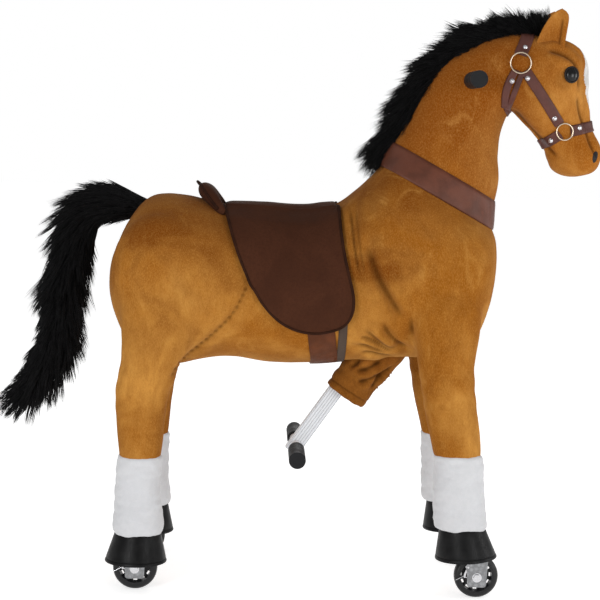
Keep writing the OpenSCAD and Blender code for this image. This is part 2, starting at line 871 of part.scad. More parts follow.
spring_r = 9;
spring_wire = 1.4;
spring_turns = 14;
spring_x0 = 60;
spring_x1 = spring_pin.x - 4;
spring_end_gap = 1.6;
spring_y = -28;
spring_z = spring_pin.z;

function coil_point(t) = [
  spring_x0 + spring_end_gap + (spring_x1 - spring_x0 - 2 * spring_end_gap) * t,
  spring_y + spring_r * cos(360 * spring_turns * t),
  spring_z + spring_r * sin(360 * spring_turns * t)
];

module return_spring() {
  steps = spring_turns * 8;
  k = 5;
  points = [for (j = [0 : steps])
    let (t = j / steps, a = 360 * spring_turns * t, c = coil_point(t))
    each [for (i = [0 : k - 1]) let (q = 360 * i / k)
      c + spring_wire * (cos(q) * [0, cos(a), sin(a)] + sin(q) * [1, 0, 0])]];
  sides = [for (j = [0 : steps - 1], i = [0 : k - 1], h = [0, 1])
    let (a = j * k + i, b = j * k + (i + 1) % k)
    h == 0 ? [a, a + k, b] : [b, a + k, b + k]];
  color(steel) polyhedron(points, concat([[for (i = [0 : k - 1]) i]], sides,
    [[for (i = [0 : k - 1]) steps * k + k - 1 - i]]));
}

module fork_bushes() {
  color(white_paint) both_sides() translate([stem_x, leg_y, housing_z0]) difference() {
    cylinder(r = stem_r + bush_t, h = 44);
    translate([0, 0, -1]) cylinder(r = stem_r + fit, h = 46);
  }
}

module rear_forks() { for (s = [-1, 1]) fork(rear_axle_x, 0, s); }
module rear_axles() { for (s = [-1, 1]) axle_bolt(rear_axle_x, s); }

chassis();
bushes();
saddle_board();
saddle_seat();
saddle_flaps();
saddle_cantle();
girth_strap();
cinch_strap();
torso_plush();
tail();
return_spring();
front_leg_frame();
foot_bar();
foot_peg_rod();
foot_grips();
foot_bar_sleeve();
front_leg_plush();
front_socks();
front_hooves();
fork_bushes();
rear_leg_frame();
rear_leg_plush();
rear_socks();
rear_hooves();
rear_forks();
rear_axles();
sync_link();
neck_frame();
handlebar();
hand_grips();
neck_plush();
chest_collar();
ears();
mane();
eyes();
halter_straps();
halter_rings();
halter_rivets();
fork(stem_x, fork_lead, -1);  // front_fork_right
fork(stem_x, fork_lead, 1);  // front_fork_left
axle_bolt(front_axle_x, -1);  // front_axle_right
axle_bolt(front_axle_x, 1);  // front_axle_left
tyre(front_axle_x, -1);  // tyre_front_right
tyre(front_axle_x, 1);  // tyre_front_left
tyre(rear_axle_x, -1);  // tyre_rear_right
tyre(rear_axle_x, 1);  // tyre_rear_left
wheel_core(front_axle_x, -1);  // core_front_right
wheel_core(front_axle_x, 1);  // core_front_left
wheel_core(rear_axle_x, -1);  // core_rear_right
wheel_core(rear_axle_x, 1);  // core_rear_left
wheel_bearings(front_axle_x, -1);  // bearings_front_right
wheel_bearings(front_axle_x, 1);  // bearings_front_left
wheel_bearings(rear_axle_x, -1);  // bearings_rear_right
wheel_bearings(rear_axle_x, 1);  // bearings_rear_left
pawl(front_axle_x, -1);  // pawl_front_right
pawl(front_axle_x, 1);  // pawl_front_left
pawl(rear_axle_x, -1);  // pawl_rear_right
pawl(rear_axle_x, 1);  // pawl_rear_left
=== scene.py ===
import math

import bmesh
import bpy
import numpy as np
from mathutils import Vector, Matrix
from mathutils.bvhtree import BVHTree


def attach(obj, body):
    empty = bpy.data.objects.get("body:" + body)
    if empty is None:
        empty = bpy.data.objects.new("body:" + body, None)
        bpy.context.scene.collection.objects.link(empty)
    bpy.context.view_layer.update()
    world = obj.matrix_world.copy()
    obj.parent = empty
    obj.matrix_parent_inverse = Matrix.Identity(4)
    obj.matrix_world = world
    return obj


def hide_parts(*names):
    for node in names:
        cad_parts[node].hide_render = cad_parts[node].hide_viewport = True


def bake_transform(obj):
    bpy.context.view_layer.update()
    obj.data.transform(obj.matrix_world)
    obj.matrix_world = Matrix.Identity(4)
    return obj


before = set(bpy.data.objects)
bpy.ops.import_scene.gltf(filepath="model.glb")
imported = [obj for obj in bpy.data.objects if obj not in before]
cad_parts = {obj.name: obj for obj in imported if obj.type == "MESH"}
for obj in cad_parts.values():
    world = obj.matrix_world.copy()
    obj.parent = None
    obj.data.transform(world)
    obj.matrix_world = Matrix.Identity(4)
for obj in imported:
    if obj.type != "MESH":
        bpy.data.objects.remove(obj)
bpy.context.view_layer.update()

MM = 0.001
LEFT, RIGHT = 1, -1          # the rider's left is +Y
SIDES = ((RIGHT, "right"), (LEFT, "left"))


def configure(thing, **settings):
    for key, value in settings.items():
        setattr(thing, key, value)


def add_object(name, data):
    made = bpy.data.objects.new(name, data)
    bpy.context.collection.objects.link(made)
    return made


def add_node(tree, kind, inputs, **settings):
    """Adds a shader node. Its inputs are sockets to link or values."""
    made = tree.nodes.new("ShaderNode" + kind)
    configure(made, **settings)
    for key, value in inputs.items():
        if isinstance(value, bpy.types.NodeSocket):
            tree.links.new(value, made.inputs[key])
        else:
            made.inputs[key].default_value = value
    return made


# ---------------- camera, floor and light

def make_camera():
    yaw, pitch, roll = math.radians(1.438), math.radians(5.835), math.radians(1.865)
    forward = Vector((math.sin(yaw) * math.cos(pitch), math.cos(yaw) * math.cos(pitch), -math.sin(pitch)))
    level_right = Vector((math.cos(yaw), -math.sin(yaw), 0))
    level_up = level_right.cross(forward)
    right = level_right * math.cos(roll) + level_up * math.sin(roll)
    up = level_up * math.cos(roll) - level_right * math.sin(roll)
    camera = add_object("camera", bpy.data.cameras.new("camera"))
    configure(camera.data, sensor_width=36, lens=102.96)
    turn = Matrix((right, up, -forward)).transposed().to_4x4()
    camera.matrix_world = Matrix.Translation((-0.08444, -3.33, 0.88804)) @ turn
    bpy.context.scene.camera = camera


def area_light(name, at, size, power):
    """A round lamp that looks at the middle of the horse."""
    lamp = add_object(name, bpy.data.lights.new(name, "AREA"))
    configure(lamp.data, shape="DISK", size=size, energy=power)
    lamp.location = at
    lamp.rotation_euler = (Vector((0, 0, 0.55)) - Vector(at)).to_track_quat("-Z", "Y").to_euler()


def make_studio():
    """A pale floor, four soft lamps and a sky that is white to the camera and dimmer as a light."""
    bpy.ops.mesh.primitive_plane_add(size=40, location=(0, 0, 0))
    floor = bpy.context.object
    floor.name = "floor"
    white = (1, 1, 1, 1)
    pale = Paint("floor_paint", Base_Color=(0.9, 0.9, 0.9, 1), Roughness=0.8, Emission_Color=white,
                 Emission_Strength=0.55)
    floor.data.materials.append(pale.material)
    world = bpy.data.worlds.new("sky")
    bpy.context.scene.world = world
    world.use_nodes = True
    tree = world.node_tree
    seen = add_node(tree, "LightPath", {}).outputs["Is Camera Ray"]
    light = tree.nodes["Background"]
    light.inputs["Color"].default_value = white
    light.inputs["Strength"].default_value = 0.5
    backdrop = add_node(tree, "Background", {"Color": white})
    choose = add_node(tree, "MixShader", {0: seen, 1: light.outputs[0], 2: backdrop.outputs[0]})
    tree.links.new(choose.outputs[0], tree.nodes["World Output"].inputs["Surface"])
    area_light("key", (-1.9, -3.0, 1.2), 1.3, 47)
    area_light("fill", (2.3, -2.9, 0.9), 1.5, 33)
    area_light("side", (3.0, -0.3, 0.9), 1.2, 19)
    area_light("rim", (0.4, 2.9, 1.8), 1.6, 14)
    bpy.context.scene.view_settings.view_transform = "Standard"


# ---------------- arrays of points

def unit(vectors):
    """Vectors scaled to a length of one along the last axis."""
    vectors = np.asarray(vectors, float)
    return vectors / np.maximum(np.linalg.norm(vectors, axis=-1, keepdims=True), 1e-12)


def turns(count):
    """Angles spaced evenly round a circle."""
    return 2 * math.pi * np.arange(count) / count


def oval(at, across, up, count, wide=1.0, tall=1.0):
    """Points round an ellipse about at, in the plane of across and up."""
    q = turns(count)[:, None]
    return at + across * np.cos(q) * wide + up * np.sin(q) * tall


def axes(out, hint=(1, 0, 0)):
    """Two directions, up and across, that are square to out and to each other."""
    up = unit(np.cross(out, hint))
    return up, np.cross(up, out)


def ease(line, rounds=1):
    """Evens out the values along the first axis in place, apart from the two ends."""
    for _ in range(rounds):
        line[1:-1] = (line[:-2] + 2 * line[1:-1] + line[2:]) / 4


def ramp(values, low, high):
    """0 below low, 1 above high, straight between."""
    return np.clip((values - low) / (high - low), 0, 1)


def smoothstep(t):
    return t * t * (3 - 2 * t)


def bell(values, width):
    """1 at zero, falling off on both sides."""
    return np.exp(-(values / width) ** 2)


def push(points, normals, amount):
    """Moves points along their normals, in place."""
    points += normals * amount[:, None]


def smooth_path(points, steps):
    """A Catmull-Rom curve through points, with steps intervals between each two."""
    p = np.asarray(points, float)
    p = np.vstack([2 * p[0] - p[1], p, 2 * p[-1] - p[-2]])
    t = np.arange(steps)[:, None] / steps
    a, b, c, d = (p[k:len(p) - 3 + k, None] for k in range(4))
    out = 0.5 * (2 * b + (c - a) * t + (2 * a - 5 * b + 4 * c - d) * t ** 2
                 + (3 * b - a - 3 * c + d) * t ** 3)
    return np.vstack([out.reshape(-1, p.shape[1]), p[-2]])


def resampled(curve, places, count):
    """count points on a curve, where places says how far along it each of its own points is."""
    t = np.linspace(0, places[-1], count)
    return np.stack([np.interp(t, places, column) for column in curve.T], 1)


def even(curve, count):
    """The same curve with count points spaced evenly along it."""
    return resampled(curve, np.r_[0, np.cumsum(np.linalg.norm(np.diff(curve, axis=0), axis=1))], count)


def path_distance(points, path):
    """The distance of 2-D points from a polyline, how far along it the nearest place is, and its length."""
    best = np.full(len(points), 1e9)
    along = np.zeros(len(points))
    run = 0.0
    for a, b in zip(path[:-1], path[1:]):
        d = b - a
        size = np.linalg.norm(d)
        t = np.clip((points - a) @ d / size ** 2, 0, 1)
        gap = np.linalg.norm(points - a - t[:, None] * d, axis=1)
        near = gap < best
        best[near] = gap[near]
        along[near] = (run + t * size)[near]
        run += size
    return best, along, run


def value_noise(points, size, seed):
    """Smooth random values from -1 to 1 over space, with features of about the size given."""
    table = np.random.default_rng(seed).uniform(-1, 1, (17, 17, 17))
    q = points / size + 100.3
    i = np.floor(q).astype(int)
    f = smoothstep(q - i)
    total = np.zeros(len(points))
    for corner in np.ndindex(2, 2, 2):
        share = np.where(corner, f, 1 - f).prod(axis=1)
        total += share * table[tuple(((i + corner) % 17).T)]
    return total


# ---------------- points and faces of solids

def grid_faces(rows, columns, closed=False, start=0):
    """Quads of a grid of points that is stored row by row."""
    wrap = columns if closed else columns - 1
    return [tuple(start + row * columns + column % columns
                  for row, column in ((r, c), (r, c + 1), (r + 1, c + 1), (r + 1, c)))
            for r in range(rows - 1) for c in range(wrap)]


def tube_faces(rows, around):
    """Faces of rings of points, with a lid at each end."""
    lids = [tuple(range(around)), tuple(range((rows - 1) * around, rows * around))]
    return grid_faces(rows, around, True) + lids


def loft(sections, side=0.0, around=40, steps=4, power=2.2):
    """A closed solid through sections [x1, z1, x2, z2, half width], in mm."""
    s = smooth_path(sections, steps) * MM
    c, w = (np.sign(f) * np.abs(f) ** (2 / power) for f in (np.cos(turns(around)), np.sin(turns(around))))
    middle = (s[:, 0:2] + s[:, 2:4]) / 2
    reach = (s[:, 2:4] - s[:, 0:2]) / 2
    points = np.zeros((len(s), around, 3))
    points[..., [0, 2]] = middle[:, None] + reach[:, None] * c[None, :, None]
    points[..., 1] = side + s[:, 4, None] * w
    faces = tube_faces(len(s), around)
    faces[-2] = faces[-2][::-1]
    return points.reshape(-1, 3), faces


def ball(at, radii, tilt=0.0, rings=20, around=28):
    """An ellipsoid whose long axis is tilted in the XZ plane, in mm."""
    lat = np.linspace(-math.pi / 2, math.pi / 2, rings)
    x = np.outer(np.cos(lat), np.cos(turns(around))) * radii[0]
    y = np.outer(np.cos(lat), np.sin(turns(around))) * radii[1]
    z = np.outer(np.sin(lat), np.ones(around)) * radii[2]
    a = math.radians(tilt)
    turned = np.stack([x * math.cos(a) + z * math.sin(a), y, z * math.cos(a) - x * math.sin(a)], -1)
    return (turned.reshape(-1, 3) + np.array(at)) * MM, grid_faces(rings, around, True)


def tube(path, radius, around=10, closed=False):
    """A round tube along a path of points, in metres."""
    p = np.asarray(path, float)
    ahead = np.roll(p, -1, 0) - np.roll(p, 1, 0)
    if not closed:
        ahead[0], ahead[-1] = p[1] - p[0], p[-1] - p[-2]
    ahead = unit(ahead)
    side = np.cross(ahead[0], (0.3, 0.5, 0.8))
    rings = []
    for d, at in zip(ahead, p):
        side = unit(side - d * (side @ d))
        rings.append(oval(at, side, np.cross(d, side), around, radius, radius))
    n = len(p)
    if not closed:
        return np.vstack(rings), tube_faces(n, around)
    shift = min(range(around), key=lambda k: np.linalg.norm(rings[0][k] - rings[-1][0]))
    last = (n - 1) * around
    seam = [(last + k, last + (k + 1) % around, (k + 1 + shift) % around, (k + shift) % around)
            for k in range(around)]
    return np.vstack(rings), grid_faces(n, around, True) + seam


def join_shapes(shapes):
    points, faces, count = [], [], 0
    for p, f in shapes:
        points.append(p)
        faces += [tuple(i + count for i in face) for face in f]
        count += len(p)
    return np.vstack(points), faces


# ---------------- meshes

def discard(piece):
    bpy.data.objects.remove(piece, do_unlink=True)


def make_mesh(name, points, faces):
    """A smooth-shaded object whose doubled points are joined and whose faces look outwards."""
    mesh = bpy.data.meshes.new(name)
    mesh.from_pydata(np.asarray(points, float).tolist(), [], [tuple(int(i) for i in f) for f in faces])
    mesh.validate()
    bm = bmesh.new()
    bm.from_mesh(mesh)
    bmesh.ops.remove_doubles(bm, verts=bm.verts, dist=1e-6)
    bmesh.ops.recalc_face_normals(bm, faces=bm.faces)
    bm.to_mesh(mesh)
    bm.free()
    mesh.polygons.foreach_set("use_smooth", [True] * len(mesh.polygons))
    return add_object(name, mesh)


def read(rows, key, width, kind=float):
    """A property of all rows of mesh data, as an array width wide."""
    out = np.empty(width * len(rows), kind)
    rows.foreach_get(key, out)
    return out.reshape(-1, width)


def points_of(piece):
    return read(piece.data.vertices, "co", 3)


def normals_of(piece):
    return read(piece.data.vertex_normals, "vector", 3)


def set_points(piece, points):
    piece.data.vertices.foreach_set("co", np.asarray(points, float).ravel())
    piece.data.update()


def bvh_of(*pieces):
    """A search tree for rays, over the faces of one or more pieces."""
    points, faces = join_shapes([(points_of(piece), [tuple(p.vertices) for p in piece.data.polygons])
                                 for piece in pieces])
    return BVHTree.FromPolygons(points.tolist(), faces)


def apply_modifiers(piece):
    graph = bpy.context.evaluated_depsgraph_get()
    mesh = bpy.data.meshes.new_from_object(piece.evaluated_get(graph))
    piece.modifiers.clear()
    piece.data = mesh


def modify(piece, kind, **settings):
    configure(piece.modifiers.new(kind, kind), **settings)
    apply_modifiers(piece)


def voxels(piece, size):
    modify(piece, "REMESH", mode="VOXEL", voxel_size=size, use_smooth_shade=True)


def subdivide(piece):
    modify(piece, "SUBSURF", levels=1)


def relax(piece, rounds, share=0.5, weight=1.0):
    """Evens the surface out: each point moves towards the middle of its neighbours."""
    a, b = read(piece.data.edges, "vertices", 2, int).T
    p = points_of(piece)
    count = np.bincount(a, minlength=len(p)) + np.bincount(b, minlength=len(p))
    w = share * (weight * np.ones(len(p)))[:, None]
    for _ in range(rounds):
        total = np.stack([np.bincount(a, p[b, k], len(p)) + np.bincount(b, p[a, k], len(p))
                          for k in range(3)], 1)
        p = p + w * (total / np.maximum(count, 1)[:, None] - p)
    set_points(piece, p)


def cut(piece, at, normal):
    """Cuts off what lies beyond the plane and closes the cut with a flat, sharp-edged face."""
    bm = bmesh.new()
    bm.from_mesh(piece.data)
    found = bmesh.ops.bisect_plane(bm, geom=bm.verts[:] + bm.edges[:] + bm.faces[:], plane_co=Vector(at),
                                   plane_no=Vector(normal), clear_outer=True)
    rim = [e for e in found["geom_cut"] if isinstance(e, bmesh.types.BMEdge)]
    lids = bmesh.ops.edgeloop_fill(bm, edges=rim)["faces"]
    for edge in rim:
        edge.smooth = False
    bmesh.ops.triangulate(bm, faces=lids)
    bmesh.ops.recalc_face_normals(bm, faces=bm.faces)
    bm.to_mesh(piece.data)
    bm.free()


def set_shade(piece, name, values):
    layer = piece.data.attributes.get(name) or piece.data.attributes.new(name, "FLOAT", "POINT")
    layer.data.foreach_set("value", np.asarray(values, np.float32))


def sheet_solid(name, top, bottom, rounded=0.35):
    """A closed sheet between two grids of points, its edges rounded inwards by a share of its depth."""
    rows, columns = top.shape[:2]
    middle = (top + bottom) / 2
    rim = ([(0, c) for c in range(columns)] + [(r, columns - 1) for r in range(1, rows)]
           + [(rows - 1, c) for c in range(columns - 2, -1, -1)] + [(r, 0) for r in range(rows - 2, 0, -1)])
    edge = []
    for r, c in rim:
        inner = middle[min(max(r, 1), rows - 2), min(max(c, 1), columns - 2)]
        depth = np.linalg.norm(top[r, c] - bottom[r, c])
        edge.append(middle[r, c] + unit(middle[r, c] - inner) * depth * rounded)
    n, m = rows * columns, len(rim)
    faces = grid_faces(rows, columns) + [f[::-1] for f in grid_faces(rows, columns, start=n)]
    for k in range(m):
        j = (k + 1) % m
        a, b = (rim[i][0] * columns + rim[i][1] for i in (k, j))
        faces += [(b, a, 2 * n + k, 2 * n + j), (n + a, n + b, 2 * n + j, 2 * n + k)]
    return make_mesh(name, np.vstack([top.reshape(-1, 3), bottom.reshape(-1, 3), edge]), faces)


# ---------------- laying things on a surface

def spot(bvh, start, way, reach=1.0):
    """Where a ray from outside, aimed back at start against way, meets the surface, with its normal."""
    start, way = Vector(start), Vector(way).normalized()
    hit, normal, _, _ = bvh.ray_cast(start + way * reach, -way)
    if hit is None:
        hit, normal, _, _ = bvh.find_nearest(start)
    return np.array(hit), np.array(normal)


def side_spot(bvh, x, z, side):
    return spot(bvh, (x, 0, z), (0, side, 0))


def exit_spot(bvh, start, way):
    """Where a ray from inside first leaves the surface, with its normal there."""
    hit, normal, _, _ = bvh.ray_cast(Vector(start), Vector(way).normalized())
    return np.array(hit), np.array(normal)


def hit_grid(rows):
    """Splits rows of (place, normal) into a grid of places and one of normals."""
    hits = np.array(rows)
    return hits[:, :, 0], hits[:, :, 1]


STRAP_LIFT, STRAP_DEPTH = 0.0006, 0.0026


def wrapped(name, bvh, start_of, way_of, us, width, depth=STRAP_DEPTH, find=spot, columns=7):
    """A strap that lies on a surface. start_of(u, v) and way_of(u) give the ray of each grid point."""
    vs = np.linspace(-width / 2, width / 2, columns)
    at, out = hit_grid([[find(bvh, start_of(u, v), way_of(u)) for v in vs] for u in us])
    for _ in range(2):
        ease(out)
        ease(out.swapaxes(0, 1))
        ease(at)
    out = unit(out)
    return sheet_solid(name, at + out * (STRAP_LIFT + depth), at)


# ---------------- materials

def rgb(red, green, blue):
    """A screen colour, 0 to 255, as a linear one."""
    return tuple(((c / 255 + 0.055) / 1.055) ** 2.4 if c > 10 else c / 255 / 12.92
                 for c in (red, green, blue)) + (1,)


def scaled(colour, factor, lift=0.0):
    """A darker or lighter version of a colour."""
    return tuple(min(1, factor * c + lift) for c in colour[:3]) + (1,)


class Paint:
    """A material and short ways to add nodes to it."""

    def __init__(self, name, **sockets):
        self.material = bpy.data.materials.new(name)
        self.material.use_nodes = True
        self.tree = self.material.node_tree
        self.shader = self.tree.nodes["Principled BSDF"]
        self.where = self.tree.nodes.new("ShaderNodeTexCoord").outputs["Object"]
        for socket, value in sockets.items():
            self.shader.inputs[socket.replace("_", " ")].default_value = value

    def node(self, kind, inputs, **settings):
        return add_node(self.tree, kind, inputs, **settings)

    def stretched(self, scale, turn=(0, 0, 0)):
        return self.node("Mapping", {"Vector": self.where, "Scale": scale, "Rotation": turn}).outputs[0]

    def noise(self, scale, detail=3.0, rough=0.55, where=None, warp=0.0):
        return self.node("TexNoise", {"Vector": where or self.where, "Scale": scale, "Detail": detail,
                                      "Roughness": rough, "Distortion": warp}).outputs["Fac"]

    def cells(self, scale, feature="F1"):
        made = self.node("TexVoronoi", {"Vector": self.where, "Scale": scale}, feature=feature)
        return made.outputs["Distance"]

    def wave(self, scale, direction, warp=0.0, where=None):
        return self.node("TexWave", {"Vector": where or self.where, "Scale": scale, "Distortion": warp,
                                     "Detail": 1.0}, bands_direction=direction).outputs["Fac"]

    def levels(self, value, low, high, out_low=0.0, out_high=1.0):
        return self.node("MapRange", {"Value": value, "From Min": low, "From Max": high, "To Min": out_low,
                                      "To Max": out_high}, interpolation_type="SMOOTHSTEP").outputs["Result"]

    def math(self, how, a, b):
        return self.node("Math", {0: a, 1: b}, operation=how).outputs[0]

    def mix(self, share, a, b):
        return self.node("Mix", {"Factor": share, 6: a, 7: b}, data_type="RGBA").outputs[2]

    def layers(self, tone, *rows):
        """Lays colours over tone. A row is a mask, its low and high level, the strength and the colour."""
        for mask, low, high, strength, colour in rows:
            tone = self.mix(self.levels(mask, low, high, 0.0, strength), tone, colour)
        return tone

    def attribute(self, name):
        return self.node("Attribute", {}, attribute_name=name).outputs["Fac"]

    def done(self, tone, bumps, roughness=None):
        """Connects the colour, bumps given as (height, distance, strength), and the roughness."""
        self.tree.links.new(tone, self.shader.inputs["Base Color"])
        if roughness is not None:
            self.tree.links.new(roughness, self.shader.inputs["Roughness"])
        below = {}
        for height, distance, strength in bumps:
            inputs = {"Height": height, "Distance": distance, "Strength": strength, **below}
            below = {"Normal": self.node("Bump", inputs).outputs["Normal"]}
        self.tree.links.new(below["Normal"], self.shader.inputs["Normal"])
        return self.material


def plush(name, base, dark, light, blaze=False):
    """Short velvet pile: brushed patches, fine speckle and a soft sheen. Painted shade makes it darker above
    than below.
    """
    p = Paint(name, Roughness=0.88, Sheen_Weight=0.13, Sheen_Roughness=0.45,
              Sheen_Tint=scaled(light, 0.85, 0.15), Specular_IOR_Level=0.03)
    ahead, _, height = p.node("SeparateXYZ", {0: p.where}).outputs
    brushed = p.noise(5.5, 3, 0.55, warp=0.6)
    swept = p.noise(3.2, 2, 0.5, warp=0.8)
    patch = p.noise(19, 4, 0.62, p.stretched((1, 1, 0.55), (0, 0.5, 0)), warp=1.2)
    clump = p.noise(95, 3, 0.7, p.stretched((1, 1, 0.4)))
    pile = p.noise(620, 2, 0.75, p.stretched((1, 1, 0.45)))
    # painted shade: the colour darkens towards the top, with a wavy edge, and less towards the front
    upper = p.levels(p.math("ADD", height, p.levels(brushed, 0.3, 0.7, -0.17, 0.17)), 0.52, 0.80)
    front, face = ((0.39, 0.47), 0.2) if blaze else ((0.22, 0.34), 0.5)
    upper = p.math("MULTIPLY", upper, p.levels(ahead, *front, 1.0, face))
    tone = p.mix(0.55, base, p.layers(dark, (brushed, 0.36, 0.66, 1.0, light)))
    tone = p.mix(p.math("MULTIPLY", upper, 0.97), tone, dark)
    tone = p.layers(tone, (swept, 0.52, 0.70, 0.22, light), (swept, 0.48, 0.34, 0.34, dark),
                    (patch, 0.38, 0.70, 0.30, dark), (patch, 0.45, 0.22, 0.30, light),
                    (clump, 0.35, 0.75, 0.20, dark), (pile, 0.42, 0.70, 0.24, light),
                    (pile, 0.48, 0.25, 0.26, dark))
    if blaze:
        white = p.layers(rgb(206, 205, 203), (clump, 0.3, 0.7, 1.0, rgb(186, 184, 181)))
        edge = p.math("ADD", p.attribute("blaze"), p.levels(pile, 0.3, 0.7, -0.12, 0.12))
        tone = p.layers(tone, (edge, 0.42, 0.58, 1.0, white))
    # painted shade: creases, folds and seams are darkened
    tone = p.layers(tone, (p.attribute("crease_shade"), 0.15, 1.0, 0.72, scaled(dark, 0.28)))
    return p.done(tone, ((pile, 0.0009, 0.75), (clump, 0.0016, 0.5), (patch, 0.003, 0.25)))


def white_plush():
    p = Paint("white_plush", Roughness=0.95, Sheen_Weight=0.3, Sheen_Roughness=0.5)
    clump, pile = p.noise(120, 4, 0.7), p.noise(700, 2, 0.8)
    tone = p.layers(rgb(192, 192, 194), (clump, 0.35, 0.7, 1.0, rgb(187, 188, 190)),
                    (p.noise(14, 3), 0.35, 0.7, 0.3, rgb(184, 185, 189)),
                    (pile, 0.5, 0.3, 0.25, rgb(168, 169, 174)))
    return p.done(tone, ((pile, 0.0010, 0.6), (clump, 0.0010, 0.3)))


def hair(name, tint):
    p = Paint(name, Roughness=0.5, Specular_IOR_Level=0.12)
    strand = p.noise(260, 2, 0.6)
    tone = p.layers(tint, (strand, 0.35, 0.7, 1.0, scaled(tint, 2.6)))
    return p.done(tone, ((p.noise(900, 2), 0.0004, 0.6),), p.levels(strand, 0.3, 0.7, 0.42, 0.65))


def suede():
    p = Paint("saddle_suede", Roughness=0.88, Sheen_Weight=0.04, Sheen_Roughness=0.4,
              Sheen_Tint=(0.8, 0.5, 0.35, 1), Specular_IOR_Level=0.05)
    rub = p.noise(11, 4, 0.6, warp=0.8)
    nap = p.noise(240, 3, 0.7)
    tone = p.layers(rgb(57, 31, 19), (rub, 0.35, 0.68, 1.0, rgb(65, 37, 24)),
                    (nap, 0.4, 0.7, 0.4, rgb(50, 27, 17)))
    return p.done(tone, ((p.cells(1100), 0.0003, 0.5), (nap, 0.0008, 0.35)),
                  p.levels(rub, 0.3, 0.7, 0.74, 0.9))


def leather(name, base, dark, rough=0.42, gleam=0.28):
    """Grained leather with pores and lighter scuffs."""
    p = Paint(name, Roughness=rough, Specular_IOR_Level=gleam)
    scuff = p.noise(75, 5, 0.7, p.stretched((1, 1, 0.3), (0.4, 0.2, 0)))
    tone = p.layers(base, (p.noise(28, 4, 0.6), 0.35, 0.7, 1.0, dark),
                    (scuff, 0.6, 0.8, 0.25, scaled(base, 1.9)))
    return p.done(tone, ((p.cells(620, "SMOOTH_F1"), 0.0006, 0.55), (p.cells(1500), 0.0002, 0.4)),
                  p.levels(scuff, 0.3, 0.75, rough - 0.06, rough + 0.16))


def webbing():
    p = Paint("webbing_weave", Roughness=0.8)
    weave = p.math("MULTIPLY", p.wave(150, "Z", 0.4), p.wave(420, "X", 0.3))
    tone = p.layers(rgb(62, 46, 34), (weave, 0.1, 0.8, 1.0, rgb(92, 72, 56)),
                    (p.noise(60), 0.4, 0.7, 0.3, rgb(54, 40, 30)))
    return p.done(tone, ((weave, 0.0007, 0.9),))


def gloss(name, base, rough=0.18, gleam=0.5):
    """Moulded glossy plastic with faint flow marks and fine scratches."""
    p = Paint(name, Roughness=rough, Specular_IOR_Level=gleam)
    cloud = p.noise(35, 4)
    scratch = p.noise(420, 4, 0.7, p.stretched((1, 1, 0.08)))
    tone = p.layers(base, (cloud, 0.35, 0.7, 1.0, scaled(base, 1.5, 0.004)))
    return p.done(tone, ((cloud, 0.0003, 0.5),), p.levels(scratch, 0.35, 0.75, rough - 0.04, rough + 0.16))


def rubber(name, base, rough=0.62, gleam=0.4):
    p = Paint(name, Roughness=rough, Specular_IOR_Level=gleam)
    dust = p.noise(45, 4, 0.65)
    tone = p.layers(base, (dust, 0.5, 0.8, 0.35, scaled(base, 2.0, 0.004)))
    return p.done(tone, ((p.noise(900, 3, 0.7), 0.0003, 0.7),),
                  p.levels(dust, 0.3, 0.7, rough - 0.1, rough + 0.12))


def metal(name, base, rough=0.3, wear=0.25, brushed=(1, 1, 1)):
    p = Paint(name, Metallic=1.0, Roughness=rough)
    lines = p.noise(260, 4, 0.7, p.stretched(brushed))
    tone = p.layers(base, (p.cells(120), 0.1, 0.7, wear, scaled(base, 0.6)))
    return p.done(tone, ((lines, 0.00012, 0.6),), p.levels(lines, 0.3, 0.7, rough - 0.06, rough + 0.14))


def coated(name, base, rough=0.32):
    """Powder-coated steel: a fine orange peel and a few rubbed spots."""
    p = Paint(name, Roughness=rough, Coat_Weight=0.2, Coat_Roughness=0.15)
    rub = p.noise(24, 5, 0.7)
    tone = p.layers(base, (rub, 0.55, 0.8, 0.5, scaled(base, 0.82)))
    return p.done(tone, ((p.noise(420, 2), 0.00025, 0.5),),
                  p.levels(rub, 0.3, 0.7, rough - 0.05, rough + 0.15))


def ribbed_paint():
    """White paint on a bar that is drawn with fine grooves along its length."""
    p = Paint("ribbed_white_paint", Roughness=0.34)
    ribs = p.wave(62, "X", where=p.stretched((1, 1, 1), (0, math.radians(-34.2), 0)))
    # painted shade: the grooves along the bar are drawn darker
    tone = p.layers(rgb(208, 211, 215), (ribs, 0.85, 1.0, 0.5, rgb(112, 116, 124)),
                    (p.noise(24, 5, 0.7), 0.55, 0.8, 0.4, rgb(176, 179, 185)))
    return p.done(tone, ((p.levels(ribs, 0.7, 1.0, 1.0, 0.0), 0.0008, 0.8),))


def timber():
    p = Paint("plywood", Roughness=0.62)
    rings = p.noise(9, 6, 0.6, p.stretched((0.6, 7, 7)))
    fibre = p.noise(160, 4, 0.7, p.stretched((0.05, 1, 1)))
    tone = p.layers(rgb(196, 160, 112), (rings, 0.3, 0.7, 1.0, rgb(160, 120, 76)),
                    (fibre, 0.4, 0.7, 0.4, rgb(132, 96, 60)))
    return p.done(tone, ((fibre, 0.0003, 0.6),))


TAN = plush("tan_plush", rgb(164, 103, 30), rgb(106, 54, 6), rgb(192, 142, 72))
HEAD = plush("head_plush", rgb(170, 106, 32), rgb(118, 60, 8), rgb(200, 148, 78), blaze=True)
SLEEVE_PAINT = plush("sleeve_plush", rgb(120, 70, 20), rgb(74, 38, 6), rgb(160, 104, 44))
SOCK = white_plush()
HAIR = hair("black_hair", (0.0026, 0.0025, 0.0027, 1))
SUEDE = suede()
PIPING = leather("saddle_piping", rgb(50, 28, 18), rgb(38, 21, 13), 0.9, 0.06)
STRAP = leather("strap_leather", rgb(84, 46, 38), rgb(66, 35, 28), 0.48)
COLLAR = leather("collar_leather", rgb(92, 50, 34), rgb(76, 40, 26), 0.5)
GIRTH = leather("girth_leather", rgb(90, 47, 22), rgb(74, 38, 17), 0.6, 0.15)
WEBBING = webbing()
HOOF = gloss("hoof_gloss", (0.0022, 0.0022, 0.0024, 1), 0.40, 0.12)
TYRE = rubber("tyre_rubber", (0.006, 0.006, 0.0065, 1), 0.4, 0.3)
